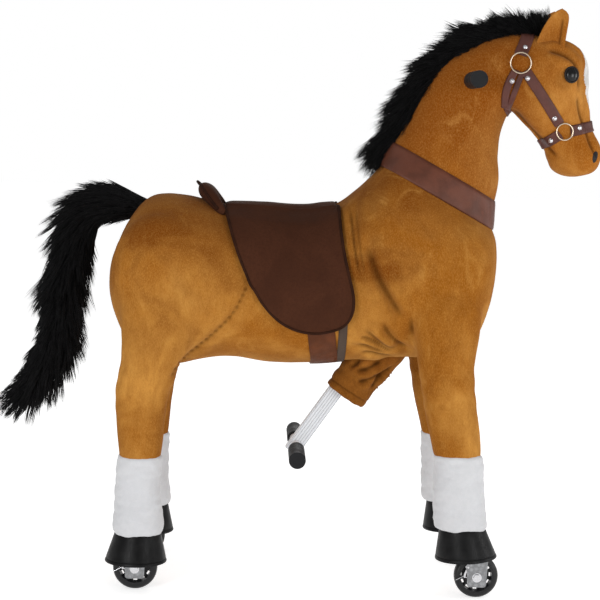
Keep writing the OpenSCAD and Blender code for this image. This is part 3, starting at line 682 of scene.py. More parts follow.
CORE = gloss("core_plastic", (0.016, 0.016, 0.018, 1), 0.32, 0.3)
GRIP = rubber("grip_rubber", (0.006, 0.0062, 0.007, 1), 0.6, 0.2)
ZINC = metal("zinc", (0.30, 0.305, 0.315, 1), 0.27, 0.8)
BRIGHT = metal("bright_steel", (0.6, 0.6, 0.62, 1), 0.18, 0.15)
GOLD = metal("pale_gold", (0.6, 0.5, 0.38, 1), 0.22, 0.2)
NYLON = gloss("nylon", (0.72, 0.71, 0.67, 1), 0.4)
FRAME_PAINT = coated("frame_paint", (0.09, 0.09, 0.1, 1))
WHITE_PAINT = coated("white_paint", (0.78, 0.79, 0.81, 1), 0.28)
RIBBED = ribbed_paint()
SPRING = metal("spring_steel", (0.5, 0.5, 0.52, 1), 0.35, brushed=(1, 1, 8))
WOOD = timber()
EYE = gloss("eye_glass", (0.0012, 0.001, 0.001, 1), 0.22, 0.3)
EYE_RIM = gloss("eye_rim", (0.008, 0.005, 0.004, 1), 0.45, 0.2)
NOSTRIL = rubber("nostril_felt", (0.01, 0.009, 0.009, 1), 0.85)


def finish(piece, material, slot, body, *nodes, fill=None):
    """Gives a piece its material and body and hides the nodes it replaces. slot and fill are not used."""
    piece.data.materials.clear()
    piece.data.materials.append(material)
    if body:
        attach(piece, body)
    if nodes:
        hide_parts(*nodes)


# ---------------- the stuffed body

TORSO = [
    (-368, 560, -368, 622, 46), (-361, 522, -358, 652, 92), (-338, 470, -336, 698, 138),
    (-296, 430, -296, 740, 163), (-240, 418, -240, 746, 171), (-186, 430, -186, 738, 166),
    (-130, 436, -130, 726, 155), (-60, 426, -60, 722, 150), (20, 427, 20, 722, 150),
    (76, 433, 76, 744, 152), (125, 438, 125, 790, 157), (180, 441, 180, 838, 160),
    (240, 443, 240, 806, 162), (296, 446, 296, 764, 157), (336, 480, 336, 732, 140),
    (360, 530, 362, 706, 104), (373, 585, 374, 676, 52)]
FRONT_LEG = [
    (200, 600, 334, 596, 30), (206, 545, 340, 545, 45), (212, 500, 338, 506, 50), (220, 450, 331, 458, 51),
    (230, 400, 333, 404, 49), (241, 345, 341, 348, 46), (254, 295, 347, 298, 43), (260, 267, 349, 267, 41)]
REAR_LEG = [
    (-336, 610, -184, 610, 34), (-340, 545, -184, 545, 50), (-337, 484, -202, 478, 54),
    (-338, 432, -224, 426, 52), (-347, 388, -242, 382, 49), (-344, 332, -251, 330, 46),
    (-339, 275, -255, 275, 42), (-336, 248, -258, 248, 40)]
NECK = [
    (351, 700, 140, 808, 97), (360, 728, 152, 838, 93), (371, 752, 168, 866, 89), (377, 794, 181, 886, 82),
    (373, 842, 200, 922, 74), (377, 884, 218, 956, 69), (386, 914, 241, 993, 66), (394, 932, 277, 1029, 65),
    (404, 920, 331, 1060, 66), (420, 904, 392, 1078, 69), (436, 889, 448, 1072, 72), (448, 876, 501, 1060, 70),
    (457, 866, 527, 1026, 62), (463, 856, 533, 982, 55), (467, 848, 537, 941, 48), (470, 838, 551, 899, 46),
    (475, 822, 572, 868, 47), (487, 811, 574, 842, 44), (505, 804, 567, 820, 36), (524, 803, 553, 810, 20)]
NECK_LOW = [(330, 622, 118, 734, 88), (342, 662, 130, 772, 96)]
LEG_Y = 0.126
JOINT_X = 0.044             # the front and rear halves of the body meet here, under the girth
NECK_BASE = Vector((0.248, 0, 0.765))
STEER = Vector((0.472551, 0, 0.881303))
SEAM_GAP = 0.0012           # half the gap between body and neck
BODY_VOXEL, HEAD_VOXEL, SOCK_VOXEL = 0.0041, 0.0036, 0.0032
STITCH = 0.0125             # the length of a stitch along a seam


def crease_in(points, normals, shade, route, depth, width, ridge, inner, fade=0.02, stitch=0.0):
    """Presses a sewn or folded line into the skin of both sides, from inner outwards, along a route of
    (x, z) in mm."""
    gap, along, length = path_distance(points[:, [0, 2]], smooth_path(route, 6) * MM)
    ends = smoothstep(np.clip(np.minimum(along, length - along) / fade, 0, 1))
    ends = ends * (1 - stitch * (0.5 + 0.5 * np.sin(along * 2 * math.pi / STITCH)))
    for side in (LEFT, RIGHT):
        on = ends * (points[:, 1] * side > inner)
        push(points, normals, on * (ridge * bell(gap - 2.2 * width, 1.4 * width) - depth * bell(gap, width)))
        # painted shade along the pressed line goes into shade
        np.maximum(shade, on * bell(gap, 0.8 * width) * min(1, depth / 0.004), out=shade)


HAUNCH_SEAM = [(-98, 600), (-106, 580), (-114, 562), (-124, 540), (-142, 515), (-166, 489), (-196, 460),
               (-224, 434), (-242, 400)]
SHOULDER_FOLD = [(112, 690), (120, 660), (140, 610), (166, 566), (184, 538), (200, 515)]
HIP_FOLD = [(206, 560), (204, 530), (208, 500), (216, 470)]
FLANK_FOLD = [(84, 752), (87, 716), (92, 676), (99, 636), (110, 596)]
SLEEVE_FOLDS = [
    [(112, 520), (126, 504), (146, 488), (172, 474), (196, 466)],
    [(98, 492), (118, 492), (140, 484), (166, 470), (190, 462)],
    [(92, 470), (120, 474), (148, 466), (176, 458)],
    [(150, 532), (160, 508), (178, 486), (200, 472), (216, 462)],
    [(104, 456), (130, 458), (158, 452), (190, 448)]]


def body_skin():
    """The torso and the upper legs as one stuffed skin, with its seams and folds."""
    shapes = [loft(TORSO, 0, 56, 4, 2.25), loft(NECK_LOW + NECK[:4], 0, 56, 4, 2.15)]
    for side in (LEFT, RIGHT):
        shapes += [loft(FRONT_LEG, side * LEG_Y, 36, 3, 2.15), loft(REAR_LEG, side * LEG_Y, 36, 3, 2.15),
                   ball((-262, side * 98, 590), (98, 78, 128), -8),
                   ball((268, side * 88, 600), (92, 72, 138), 6)]
    skin = make_mesh("skin", *join_shapes(shapes))
    voxels(skin, BODY_VOXEL)
    relax(skin, 35, 0.5, 1 - 0.72 * (1 - ramp(points_of(skin)[:, 2], 0.33, 0.45)))
    p, n = points_of(skin), normals_of(skin)
    shade = np.zeros(len(p))
    lumps = 0.0022 * value_noise(p, 0.085, 3) * ramp(p[:, 2], 0.40, 0.50)
    push(p, n, lumps + 0.0009 * value_noise(p, 0.03, 4))
    ripples = np.sin((p[:, 2] + 0.10 * p[:, 0]) * 2 * math.pi / 0.034 + 3 * value_noise(p, 0.07, 9))
    push(p, n, 0.0007 * bell(p[:, 2] - 0.40, 0.05) * ripples)
    crease_in(p, n, shade, HAUNCH_SEAM, 0.0062, 0.0058, 0.0018, 0.07, stitch=0.5)
    crease_in(p, n, shade, SHOULDER_FOLD, 0.0115, 0.0080, 0.0055, 0.05, 0.05)
    crease_in(p, n, shade, HIP_FOLD, 0.0045, 0.0070, 0.0030, 0.05, 0.05)
    for shift, depth in ((0, 0.0036), (10, 0.0028)):
        crease_in(p, n, shade, [(x + shift, z) for x, z in FLANK_FOLD], depth, 0.0048, 0.0010, 0.03, 0.04)
    for route in SLEEVE_FOLDS:
        crease_in(p, n, shade, route, 0.0078, 0.0062, 0.0044, 0.02, 0.03)
    push(p, n, -0.0024 * bell(p[:, 1], 0.004) * (p[:, 2] < 0.5))     # the seam along the belly
    set_points(skin, p)
    relax(skin, 1, 0.4)
    # painted shade in the seams and folds, a little uneven
    set_shade(skin, "crease_shade", shade * (0.85 + 0.15 * value_noise(p, 0.02, 5)))
    return skin


def make_body():
    skin = body_skin()
    cut(skin, NECK_BASE - STEER * SEAM_GAP, STEER)
    front, rear = (add_object(name, skin.data.copy()) for name in ("body_front", "body_rear"))
    cut(front, (JOINT_X, 0, 0.6), (-1, 0, 0))
    cut(rear, (JOINT_X - 0.0004, 0, 0.6), (1, 0, 0))
    finish(front, TAN, "plush_tan", None, "torso_plush", "front_leg_plush", fill=0.9)
    finish(rear, TAN, "plush_tan", None, "rear_leg_plush", fill=0.9)
    return skin, front, rear


def bend_body(front, rear):
    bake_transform(front)
    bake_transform(rear)


# ---------------- neck and head

BROW = [(446, 1046), (470, 1043), (494, 1032), (512, 1012), (518, 988), (515, 966)]
NOSE_SEAM = [(515, 966), (518, 944), (526, 918), (537, 893), (546, 868), (555, 850), (560, 832)]
JAW_SEAM = [(392, 934), (410, 915), (432, 893), (454, 872), (474, 850), (488, 836)]
EYE_AT = (0.487, 0.995)      # x and z


def make_head():
    shapes = [loft(NECK_LOW + NECK, 0, 56, 4, 2.15), loft(TORSO, 0, 56, 4, 2.25)]
    for side in (LEFT, RIGHT):
        shapes += [ball((448, side * 32, 962), (40, 36, 46), 30),
                   ball((488, side * 27, 1010), (38, 36, 38), 30),
                   ball((540, side * 20, 846), (30, 27, 33), 20)]
    head = make_mesh("neck_head", *join_shapes(shapes))
    voxels(head, HEAD_VOXEL)
    cut(head, NECK_BASE - STEER * 0.04, -STEER)
    relax(head, 22)
    p, n = points_of(head), normals_of(head)
    shade = np.zeros(len(p))
    push(p, n, 0.0011 * value_noise(p, 0.06, 13) + 0.0006 * value_noise(p, 0.02, 14))
    crease_in(p, n, shade, BROW, 0.0085, 0.0066, 0.0034, 0.012)
    crease_in(p, n, shade, NOSE_SEAM, 0.0052, 0.005, 0.0020, 0.008)
    crease_in(p, n, shade, JAW_SEAM, 0.0040, 0.0045, 0.0018, 0.008)
    face = np.interp(p[:, 2], (0.90, 0.94, 0.98, 1.02, 1.06), (0.52, 0.505, 0.50, 0.49, 0.455))
    middle = smoothstep(np.clip((0.033 - np.abs(p[:, 1])) / 0.009, 0, 1))
    level = ramp(p[:, 2], 0.90, 0.93) * ramp(-p[:, 2], -1.075, -1.045)
    push(p, n, 0.0075 * middle * level * (p[:, 0] > face))
    socket = np.linalg.norm(p[:, [0, 2]] - EYE_AT, axis=1)
    beside = np.abs(p[:, 1]) > 0.03
    push(p, n, beside * (0.0022 * bell(socket - 0.026, 0.008) - 0.005 * bell(socket, 0.017)))
    set_points(head, p)
    relax(head, 1, 0.3)
    p = points_of(head)
    # painted shade in the brow, nose and jaw seams
    set_shade(head, "crease_shade", shade * 0.85)
    width = np.interp(p[:, 2], (0.90, 0.92, 0.95, 1.01, 1.06), (0.010, 0.022, 0.029, 0.031, 0.024))
    blaze = np.clip((width - np.abs(p[:, 1])) / 0.004 + 0.5, 0, 1) * (p[:, 0] > face)
    set_shade(head, "blaze", blaze * ramp(p[:, 2], 0.902, 0.912))
    cut(head, NECK_BASE + STEER * SEAM_GAP, -STEER)
    finish(head, HEAD, "plush_tan", "neck", "neck_plush", fill=0.95)
    return head


def make_eyes(bvh):
    """Domed eyes, each with a rim."""
    rings, around = 18, 40
    for side, word in SIDES:
        at, _ = spot(bvh, (EYE_AT[0], 0, EYE_AT[1]), (0.18, side, 0.06))
        out = unit((0.22, side, 0.08))
        at = at + out * 0.0012
        up, across = axes(out)
        dome = [oval(at + out * (0.0075 * math.sin(a) + 0.0002), across, up, around,
                     0.0124 * math.cos(a), 0.0138 * math.cos(a))
                for a in np.linspace(math.radians(-50), math.radians(90), rings)]
        faces = grid_faces(rings, around, True) + [tuple(range(around))]
        eye = make_mesh(f"eye_{word}", np.vstack(dome), faces)
        finish(eye, EYE, "eye_black", "neck", "eyes")
        ring = oval(at + out * 0.0012, across, up, 48, 0.0130, 0.0144)
        rim = make_mesh(f"eye_rim_{word}", *tube(ring, 0.0020, 10, True))
        finish(rim, EYE_RIM, "eye_black", "neck")


def make_nostrils(bvh):
    """Flat felt ovals with a slight dome."""
    rings, around = 7, 32
    for side, word in SIDES:
        points = []
        for r in np.linspace(0.02, 1, rings):
            for q in turns(around):
                at, out = side_spot(bvh, 0.5555 + r * (0.0055 * math.cos(q) + 0.0016 * math.sin(q)),
                                    0.8445 + r * 0.0112 * math.sin(q), side)
                points.append(at + out * (0.0014 * math.sqrt(1.05 - r ** 2) - 0.0003))
        points += [at - (0, side * 0.002, 0) for at in points[-around:]]
        nostril = make_mesh(f"nostril_{word}", points, tube_faces(rings + 1, around))
        finish(nostril, NOSTRIL, "eye_black", "neck")


def make_ears():
    """Two leaf-shaped, cupped ears that lean forwards."""
    rows, columns = 22, 15
    spine = smooth_path([(0.455, 0.036, 1.036), (0.459, 0.040, 1.060), (0.466, 0.043, 1.086),
                         (0.473, 0.044, 1.106), (0.478, 0.044, 1.1225)], 8)
    u = np.arange(rows)[:, None] / (rows - 1)
    v = 2 * np.arange(columns) / (columns - 1) - 1
    x, y, z = (spine[(u * (len(spine) - 1)).astype(int), k] for k in range(3))
    half = 0.0345 * (1 - 0.60 * u) * (1 - u ** 9) ** 0.5 + 0.0006
    cup = 0.62 * (1 - 0.45 * u) * math.pi / 2
    root = 1 - u
    leaf = np.stack([x + half * np.sin(v * cup) / cup * 0.989 + 0.006 * (1 - np.abs(v)) * root,
                     y + half * (1 - np.cos(v * cup)) * 1.1 - 0.010 * root + 0 * v,
                     z - 0.003 * np.abs(v) * root], -1)
    thick = 0.0026 * np.ones((rows, 1, 1))
    thick[-3:] *= 0.6
    for side, word in SIDES:
        sheet = leaf * (1, side, 1)
        out = unit(np.cross(np.gradient(sheet, axis=0), np.gradient(sheet, axis=1))) * thick
        ear = sheet_solid(f"ear_{word}", sheet + out, sheet - out, 0.5)
        subdivide(ear)
        p, n = points_of(ear), normals_of(ear)
        line = np.interp(p[:, 2], (1.03, 1.06, 1.09, 1.12), (0.474, 0.478, 0.480, 0.482))
        fold = bell(p[:, 0] - line, 0.003) * ramp(-p[:, 2], -1.115, -1.095)
        push(p, n, -0.0030 * fold)
        set_points(ear, p)
        # painted shade in the ear's fold
        set_shade(ear, "crease_shade", fold * 0.8)
        finish(ear, HEAD, "plush_tan", "neck", "ears")


# ---------------- straps

RINGS = (((400, 1017), 0.0195, "upper"), ((492, 891), 0.0158, "lower"))     # place, radius, name
RIVETS = [(409, 1046), (414, 989), (385, 983), (470, 916), (520, 899), (469, 874)]
RIVET_PROFILE = [(1.0, -0.0012), (1.0, 0.0004), (0.92, 0.0008), (0.78, 0.0008), (0.74, 0.0014), (0.6, 0.0024),
                 (0.35, 0.0031), (0.02, 0.0034)]


def plane_band(bvh, name, origin, way, reach, width, count, *nodes):
    """A strap in a plane across the head, in mm. It runs from -reach to reach degrees round origin, where
    0 is straight along way and 90 is sideways."""
    origin = np.array((origin[0], 0, origin[1])) * MM
    along, across = unit((way[0], 0, way[1])), np.array((0.0, 1.0, 0.0))
    square = np.cross(along, across)
    band = wrapped(name, bvh, lambda u, v: origin + square * v,
                   lambda u: along * math.cos(u) + across * math.sin(u),
                   np.radians(np.linspace(-reach, reach, count)), width * MM, find=exit_spot)
    finish(band, STRAP, "strap_brown", "neck", *nodes)


def side_strap(bvh, name, a, b, width, side, bulge=0.0):
    """A flat strap on one cheek from a to b, both (x, z) in mm."""
    a, b = (np.array((x, 0, z)) * MM for x, z in (a, b))
    run = unit(b - a)
    over = np.array((-run[2], 0, run[0]))
    band = wrapped(name, bvh, lambda u, v: a + (b - a) * u + over * (v + bulge * MM * math.sin(math.pi * u)),
                   lambda u: (0, side, 0), np.linspace(0, 1, 30), width * MM)
    finish(band, STRAP, "strap_brown", "neck")


def make_ring(name, at, out, radius, *nodes):
    up, across = axes(out)
    ring = make_mesh(name, *tube(oval(at, across, up, 48, radius, radius), 0.0014, 12, True))
    finish(ring, GOLD, "ring_metal", "neck", *nodes)


def make_rivet(name, at, out, *nodes):
    """A domed rivet head with a flat washer rim."""
    radius = 0.0046
    up, across = axes(out, (1, 0, 0.2))
    points = np.vstack([oval(at + out * h, across, up, 24, radius * r, radius * r) for r, h in RIVET_PROFILE])
    rivet = make_mesh(name, points, tube_faces(len(RIVET_PROFILE), 24))
    finish(rivet, BRIGHT, "steel", "neck", *nodes)


def make_halter(bvh):
    plane_band(bvh, "crown_strap", (385, 1001), (36, 78), 60, 22, 80, "halter_straps")
    plane_band(bvh, "chin_strap", (500, 897), (-54, -39), 68, 19, 60)
    plane_band(bvh, "nose_band", (484, 887), (62, 15), 66, 19, 60)
    under = wrapped("throat_band", bvh, lambda u, v: (0.450 + 0.72 * v, u, 0.860 + 0.69 * v),
                    lambda u: (-0.69, 0, 0.72), np.linspace(-0.040, 0.040, 24), 0.012, 0.0024, exit_spot, 5)
    finish(under, STRAP, "strap_brown", "neck")
    for side, word in SIDES:
        side_strap(bvh, f"cheek_strap_{word}", (410, 1002), (481, 905), 18, side)
        side_strap(bvh, f"throat_strap_{word}", (391, 1003), (376, 932), 13, side, -7)
        side_strap(bvh, f"throat_keeper_{word}", (404, 999), (384, 930), 9, side, -2)
        for k, ((x, z), radius, label) in enumerate(RINGS):
            at, out = side_spot(bvh, x * MM, z * MM, side)
            out = unit(out * (0.35, 1, 0.35))
            nodes = ["halter_rings"] if (side, k) == (RIGHT, 0) else []
            make_ring(f"halter_ring_{label}_{word}", at + out * 0.0052, out, radius, *nodes)
        for k, (x, z) in enumerate(RIVETS):
            at, out = side_spot(bvh, x * MM, z * MM, side)
            nodes = ["halter_rivets"] if (side, k) == (RIGHT, 0) else []
            make_rivet(f"halter_rivet_{word}_{k + 1}", at + out * 0.0036, out, *nodes)


COLLAR_RISE = 0.0215         # from the neck's base to the collar's middle, along the column


def make_collar(bvh):
    """The wide strap round the root of the neck, pulled straight over the dips below it."""
    ahead = Vector((STEER.z, 0, -STEER.x))
    origin, steer = np.array(NECK_BASE + STEER * COLLAR_RISE), np.array(STEER)
    vs = np.array([-0.0262, -0.0236, -0.0170, -0.0100, -0.0030, 0.0040, 0.0110, 0.0180, 0.0245])
    at, out = hit_grid([[spot(bvh, origin + steer * v, ahead * math.cos(u) + Vector((0, 1, 0)) * math.sin(u))
                         for v in vs] for u in turns(120)])
    rays = at - origin - np.multiply.outer(vs, steer)
    reach = np.linalg.norm(rays, axis=2)
    taut = reach[:, :1] + (reach[:, -1:] - reach[:, :1]) * (vs - vs[0]) / (vs[-1] - vs[0])
    at += rays * (np.maximum(taut / reach, 1) - 1)[..., None]
    for _ in range(4):
        at, out = ((np.roll(g, 1, 0) + 2 * g + np.roll(g, -1, 0)) / 4 for g in (at, out))
    out = unit(out)
    edge = 1 - np.abs(np.linspace(-1, 1, 9)) ** 6 * 0.45
    outside, inside = at + out * (0.0012 + 0.0026 * edge[:, None]), at - out * 0.0004
    rings = np.concatenate([outside, inside[:, ::-1]], axis=1)
    n, k = rings.shape[:2]
    faces = [tuple(i % (n * k) for i in face) for face in grid_faces(n + 1, k, True)]
    collar = make_mesh("chest_collar", rings.reshape(-1, 3), faces)
    finish(collar, COLLAR, "strap_brown", "neck", "chest_collar")


# ---------------- saddle and girth

AXIS_Z = 0.590               # saddle rays start on this line along the body
GIRTH_Z = 0.585              # and those of the girth on this one
SEAT_EDGE = 0.074
LAP_EDGE = 0.046             # the flaps reach up to this far from the middle, over the seat
LAP_LOW, LAP_HIGH = 0.700, 0.740
FLAP = [(-154, 740), (-148, 712), (-138, 680), (-124, 644), (-107, 607), (-88, 574), (-66, 546), (-37, 522),
        (-4, 508), (28, 504), (58, 510), (81, 522), (94, 543), (96, 572), (88, 606), (79, 646), (72, 693),
        (67, 740)]
LOW_EDGE = slice(44, 77)     # the part of the flap's outline, of 120 points, that is its low edge


def top_spot(bvh, x, y, reach=1.0):
    """Where the top of the surface is at (x, y)."""
    return spot(bvh, (x, y, 0.6), (0, 0, 1), reach)


def ray_angle(bvh, x, z, side):
    """The angle, from straight out, at which a ray from the body's axis meets the skin at height z."""
    at, _ = side_spot(bvh, x, min(z, LAP_LOW), side)
    if z > LAP_LOW:
        edge, _ = top_spot(bvh, x, LAP_EDGE * side)
        at = at + (edge - at) * (z - LAP_LOW) / (LAP_HIGH - LAP_LOW)
        z = at[2]
    return math.atan2(z - AXIS_Z, abs(at[1]))


def coons(bottom, top, left, right, rows, columns):
    """A grid of (x, angle) between four boundary curves, each given from low to high."""
    v, u = np.linspace(0, 1, rows)[:, None, None], np.linspace(0, 1, columns)[:, None]
    bottom, top = (resampled(c, np.arange(len(c)), columns) for c in (bottom, top))
    left, right = (resampled(c, np.arange(len(c)), rows)[:, None] for c in (left, right))
    corners = (1 - v) * ((1 - u) * bottom[0] + u * bottom[-1]) + v * ((1 - u) * top[0] + u * top[-1])
    return (1 - v) * bottom + v * top + (1 - u) * left + u * right - corners


def make_flap(bvh, side, word):
    """A padded saddle flap that hangs clear of the body, with piping round its three free edges."""
    rows, columns = 44, 46
    outline = even(smooth_path(FLAP, 8), 120) * MM
    curve = np.array([(x, ray_angle(bvh, x, z, side)) for x, z in outline])
    rear, low, front = curve[:LOW_EDGE.start + 1], curve[LOW_EDGE], curve[LOW_EDGE.stop - 1:]
    high = np.linspace(rear[0], front[-1], 30)
    at, out = hit_grid([[spot(bvh, (x, 0, AXIS_Z), (0, side * math.cos(a), math.sin(a)), 0.6) for x, a in row]
                        for row in coons(low, high, rear[::-1], front, rows, columns)])
    for _ in range(14):
        for g in (at, out):
            g[1:-1, 1:-1] = (g[:-2, 1:-1] + g[2:, 1:-1] + g[1:-1, :-2] + g[1:-1, 2:]) / 4
    out = unit(out)
    v = np.linspace(0, 1, rows)[:, None, None]
    r, c = np.arange(rows)[:, None], np.arange(columns)
    crown = (1 - np.exp(-np.minimum(r, np.minimum(c, c[::-1])) / 2.2))[..., None]
    lap = np.clip((1 - v) / 0.16, 0.22, 1)
    hang = (0.0046 + 0.0035 * (1 - v) ** 2) * lap
    hang = hang + 0.0012 * np.sin(np.linspace(0, 7.5, columns))[:, None] * (1 - v)
    puff = (0.0035 + 0.003 * crown) * lap
    flap = sheet_solid(f"saddle_flap_{word}", at + out * (hang + puff), at + out * hang)
    subdivide(flap)
    finish(flap, SUEDE, "suede_dark", "trunk")
    mid = at + out * (hang + 0.0035)
    edge = np.vstack([mid[:0:-1, 0], mid[0], mid[1:, -1]])
    path = smooth_path(edge[::2], 3)
    ease(path, 6)
    piping = make_mesh(f"flap_piping_{word}", *tube(path, 0.0027, 12))
    finish(piping, PIPING, "suede_dark", "trunk")


def cushion(piece, pressure, voxel):
    """Swells a closed pad with a cloth simulation, and keeps each point within cap of its place."""
    cap, frames = 0.005, 20
    voxels(piece, voxel)
    rest = points_of(piece)
    cloth = piece.modifiers.new("swell", "CLOTH")
    configure(cloth.settings, quality=5, mass=0.3, use_pressure=True, uniform_pressure_force=pressure,
              tension_stiffness=12, compression_stiffness=12, bending_stiffness=0.6)
    cloth.settings.effector_weights.gravity = 0
    cloth.collision_settings.use_collision = False
    configure(cloth.point_cache, frame_start=1, frame_end=frames)
    for frame_number in range(1, frames + 1):
        bpy.context.scene.frame_set(frame_number)
    swollen = piece.evaluated_get(bpy.context.evaluated_depsgraph_get()).data
    move = read(swollen.vertices, "co", 3) - rest
    size = np.linalg.norm(move, axis=1)
    piece.modifiers.clear()
    bpy.context.scene.frame_set(1)
    set_points(piece, rest + move * (np.minimum(size, cap) / np.maximum(size, 1e-9))[:, None])
    relax(piece, 3, 0.4)
    subdivide(piece)


def make_seat(bvh):
    """The padded top of the saddle. The flaps lap over its long edges."""
    rows, columns = 40, 34
    at, out = hit_grid([[top_spot(bvh, x, y, 0.6) for y in np.linspace(-1, 1, columns) * SEAT_EDGE]
                        for x in np.linspace(-0.152, 0.066, rows)])
    for _ in range(4):
        ease(out)
        ease(out.swapaxes(0, 1))
    out = unit(out)
    v = np.abs(np.linspace(-1, 1, columns))[:, None]
    u = np.abs(np.linspace(-1, 1, rows))[:, None, None]
    rise = 0.0026 + 0.0068 * (1 - v ** 3) * (1 - 0.8 * u ** 6)
    seat = sheet_solid("saddle_seat", at + out * (0.001 + rise), at + out * 0.0008, 0.4)
    cushion(seat, 1.2, 0.0042)
    finish(seat, SUEDE, "suede_dark", "trunk", "saddle_seat", "saddle_flaps", fill=0.75)
    return seat


def make_cantle(bvh):
    """The puffy roll that arches over the back of the seat, its piped rear edge drawn out to a point."""
    rows, around = 41, 28
    rings, crest = [], []
    for t in np.linspace(-1, 1, rows):
        high = 1 - abs(t) ** 2.2
        x, y = -0.152 - 0.034 * high, 0.086 * t
        ground, _ = top_spot(bvh, x, y, 0.6)
        taper = min(1, (1 - abs(t)) * 12 + 0.25)
        long, short = (0.010 + 0.012 * high) * taper, (0.008 + 0.0075 * high) * taper
        lean = math.radians(150 - 14 * high)
        way = np.array((math.cos(lean), 0, math.sin(lean)))
        middle = np.array((x, y, ground[2] + 0.005 + 0.010 * high))
        rings.append(oval(middle, way, np.array((-way[2], 0, way[0])), around, long, short))
        crest.append(middle + way * (long + 0.006 * max(0, 1 - abs(t) * 5)))
    roll = make_mesh("saddle_cantle", np.vstack(rings), tube_faces(rows, around))
    cushion(roll, 1.5, 0.0038)
    finish(roll, SUEDE, "suede_dark", "trunk", "saddle_cantle", fill=0.85)
    edge = make_mesh("cantle_piping", *tube(smooth_path(crest[1:-1], 3), 0.0028, 12))
    finish(edge, PIPING, "suede_dark", "trunk")


def make_girth(bvh, name, material, slot, x_top, x_low, width, depth):
    """A strap under the belly, whose middle moves from x_top at the flaps to x_low below."""
    end = 8.9724771          # degrees below the side at which it starts, under the flap

    def start_at(u, v):
        below = math.degrees(min(-u, math.pi + u))
        return (x_top + (x_low - x_top) * ramp(below, 22, 60) + v, 0, GIRTH_Z)

    band = wrapped(name, bvh, start_at, lambda u: (0, math.cos(u), math.sin(u)),
                   np.radians(np.linspace(end - 180, -end, 70)), width, depth)
    finish(band, material, slot, "trunk", name)


# ---------------- sleeve, socks and hooves

SLEEVE_SECTIONS = [(104, 454, 214, 450, 36), (94, 438, 200, 430, 42), (83, 423, 172, 402, 42),
                   (71, 406, 148, 370, 40), (59, 389, 131, 341, 38)]
SLEEVE_MOUTH = ((0.97, -0.003), (0.90, -0.0035), (0.84, 0.0), (0.78, 0.012), (0.62, 0.024), (0.50, 0.032))
SLEEVE_CREASES = [
    [(166, 446), (150, 432), (128, 420), (104, 416)], [(190, 430), (166, 412), (148, 392), (138, 372)],
    [(122, 452), (112, 432), (92, 418)], [(178, 420), (140, 402), (108, 392)]]
FRONT_SOCK = [(258, 277, 351, 275, 42.5), (258, 268, 353, 266, 43), (261, 225, 357, 225, 44),
              (262, 185, 361, 185, 44.5), (263, 160, 364, 160, 46), (264, 139, 366, 139, 47),
              (268, 132, 362, 132, 43)]
REAR_SOCK = [(-342, 259, -253, 259, 42.5), (-341, 248, -255, 248, 43), (-343, 205, -256, 205, 44),
             (-344, 160, -253, 160, 44.5), (-347, 130, -249, 130, 47), (-346, 113, -250, 113, 47),
             (-341, 106, -254, 106, 43)]
HOOF_PROFILE = [            # the share of the height, from the top, and the radius
    (0.0, 0.0425), (0.0, 0.0432), (0.25, 0.0470), (0.55, 0.0518), (0.84, 0.0564), (0.872, 0.0566),
    (0.885, 0.0560), (0.898, 0.0572), (0.97, 0.0588), (1.0, 0.0586), (1.0, 0.0556), (0.96, 0.0548),
    (0.5, 0.0480), (0.06, 0.0410)]


def make_sleeve():
    """The short plush tube that hangs round the foot bar, its mouth turned in."""
    around = 56
    rows = loft(SLEEVE_SECTIONS, 0, around, 8, 2.1)[0].reshape(-1, around, 3)
    middle = rows.mean(1)
    end, down = middle[-1], unit(middle[-1] - middle[-5])
    inward = [end + (rows[-1] - end) * share - down * back for share, back in SLEEVE_MOUTH]
    rows = np.concatenate([rows, inward])
    sleeve = make_mesh("foot_bar_sleeve", rows.reshape(-1, 3), tube_faces(len(rows), around))
    subdivide(sleeve)
    p, n = points_of(sleeve), normals_of(sleeve)
    level = (p - end) @ down
    folds = np.sin(level * 2 * math.pi / 0.027 + 3.5 * value_noise(p, 0.05, 21))
    pleats = np.sin(np.arctan2(p[:, 1], p[:, 0] - 0.1) * 9 + 3 * value_noise(p, 0.05, 22))
    hem = bell(level + 0.011, 0.0022)
    push(p, n, (0.0010 * folds + 0.0004 * pleats) * ramp(level, -0.09, -0.08) - 0.0012 * hem)
    shade = np.zeros(len(p))
    for route in SLEEVE_CREASES:
        crease_in(p, n, shade, route, 0.0050, 0.0052, 0.0030, 0, 0.018)
    set_points(sleeve, p)
    # painted shade in the hem's groove, the valleys of the folds and the creases
    set_shade(sleeve, "crease_shade", np.clip(hem * 0.45 + 0.2 * np.clip(-folds, 0, 1) + 0.8 * shade, 0, 1))
    finish(sleeve, SLEEVE_PAINT, "plush_tan", None, "foot_bar_sleeve")
    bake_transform(sleeve)


def make_sock(name, sections, side, body, node, seed):
    """A fluffy white tube with soft sideways folds and a seam at the back."""
    sock = make_mesh(name, *loft(sections, side * LEG_Y, 64, 9, 2.1))
    voxels(sock, SOCK_VOXEL)
    relax(sock, 8)
    p, n = points_of(sock), normals_of(sock)
    q = p * (1, 1, 2.1) + seed
    push(p, n, 0.0026 * value_noise(q, 0.045, 30 + seed) + 0.0013 * value_noise(q, 0.018, 40 + seed)
         + 0.0006 * value_noise(p, 0.007, 5))
    angle = np.arctan2(p[:, 1] - side * LEG_Y, p[:, 0] - p[:, 0].mean())
    push(p, n, -0.0016 * bell(angle + 2.2 * side, 0.05))
    set_points(sock, p)
    finish(sock, SOCK, "plush_white", body, node, fill=0.9)


def make_hoof(name, top_x, low_x, high, low, side, body, node, tip=0.0):
    """A hollow cone-shaped hoof with a thin wall and a rim groove, placed in mm. tip slopes its low edge."""
    around = 72
    rings = [oval(np.array((top_x + (low_x - top_x) * t, side * LEG_Y / MM, high - (high - low) * t)) * MM,
                  np.array((1, 0, tip * t)), np.array((0, 1, 0)), around, r, r) for t, r in HOOF_PROFILE]
    hoof = make_mesh(name, np.vstack(rings), tube_faces(len(HOOF_PROFILE), around))
    modify(hoof, "BEVEL", width=0.0006, segments=2, limit_method="ANGLE", angle_limit=math.radians(28))
    finish(hoof, HOOF, "hoof_black", body, node)


# ---------------- hair

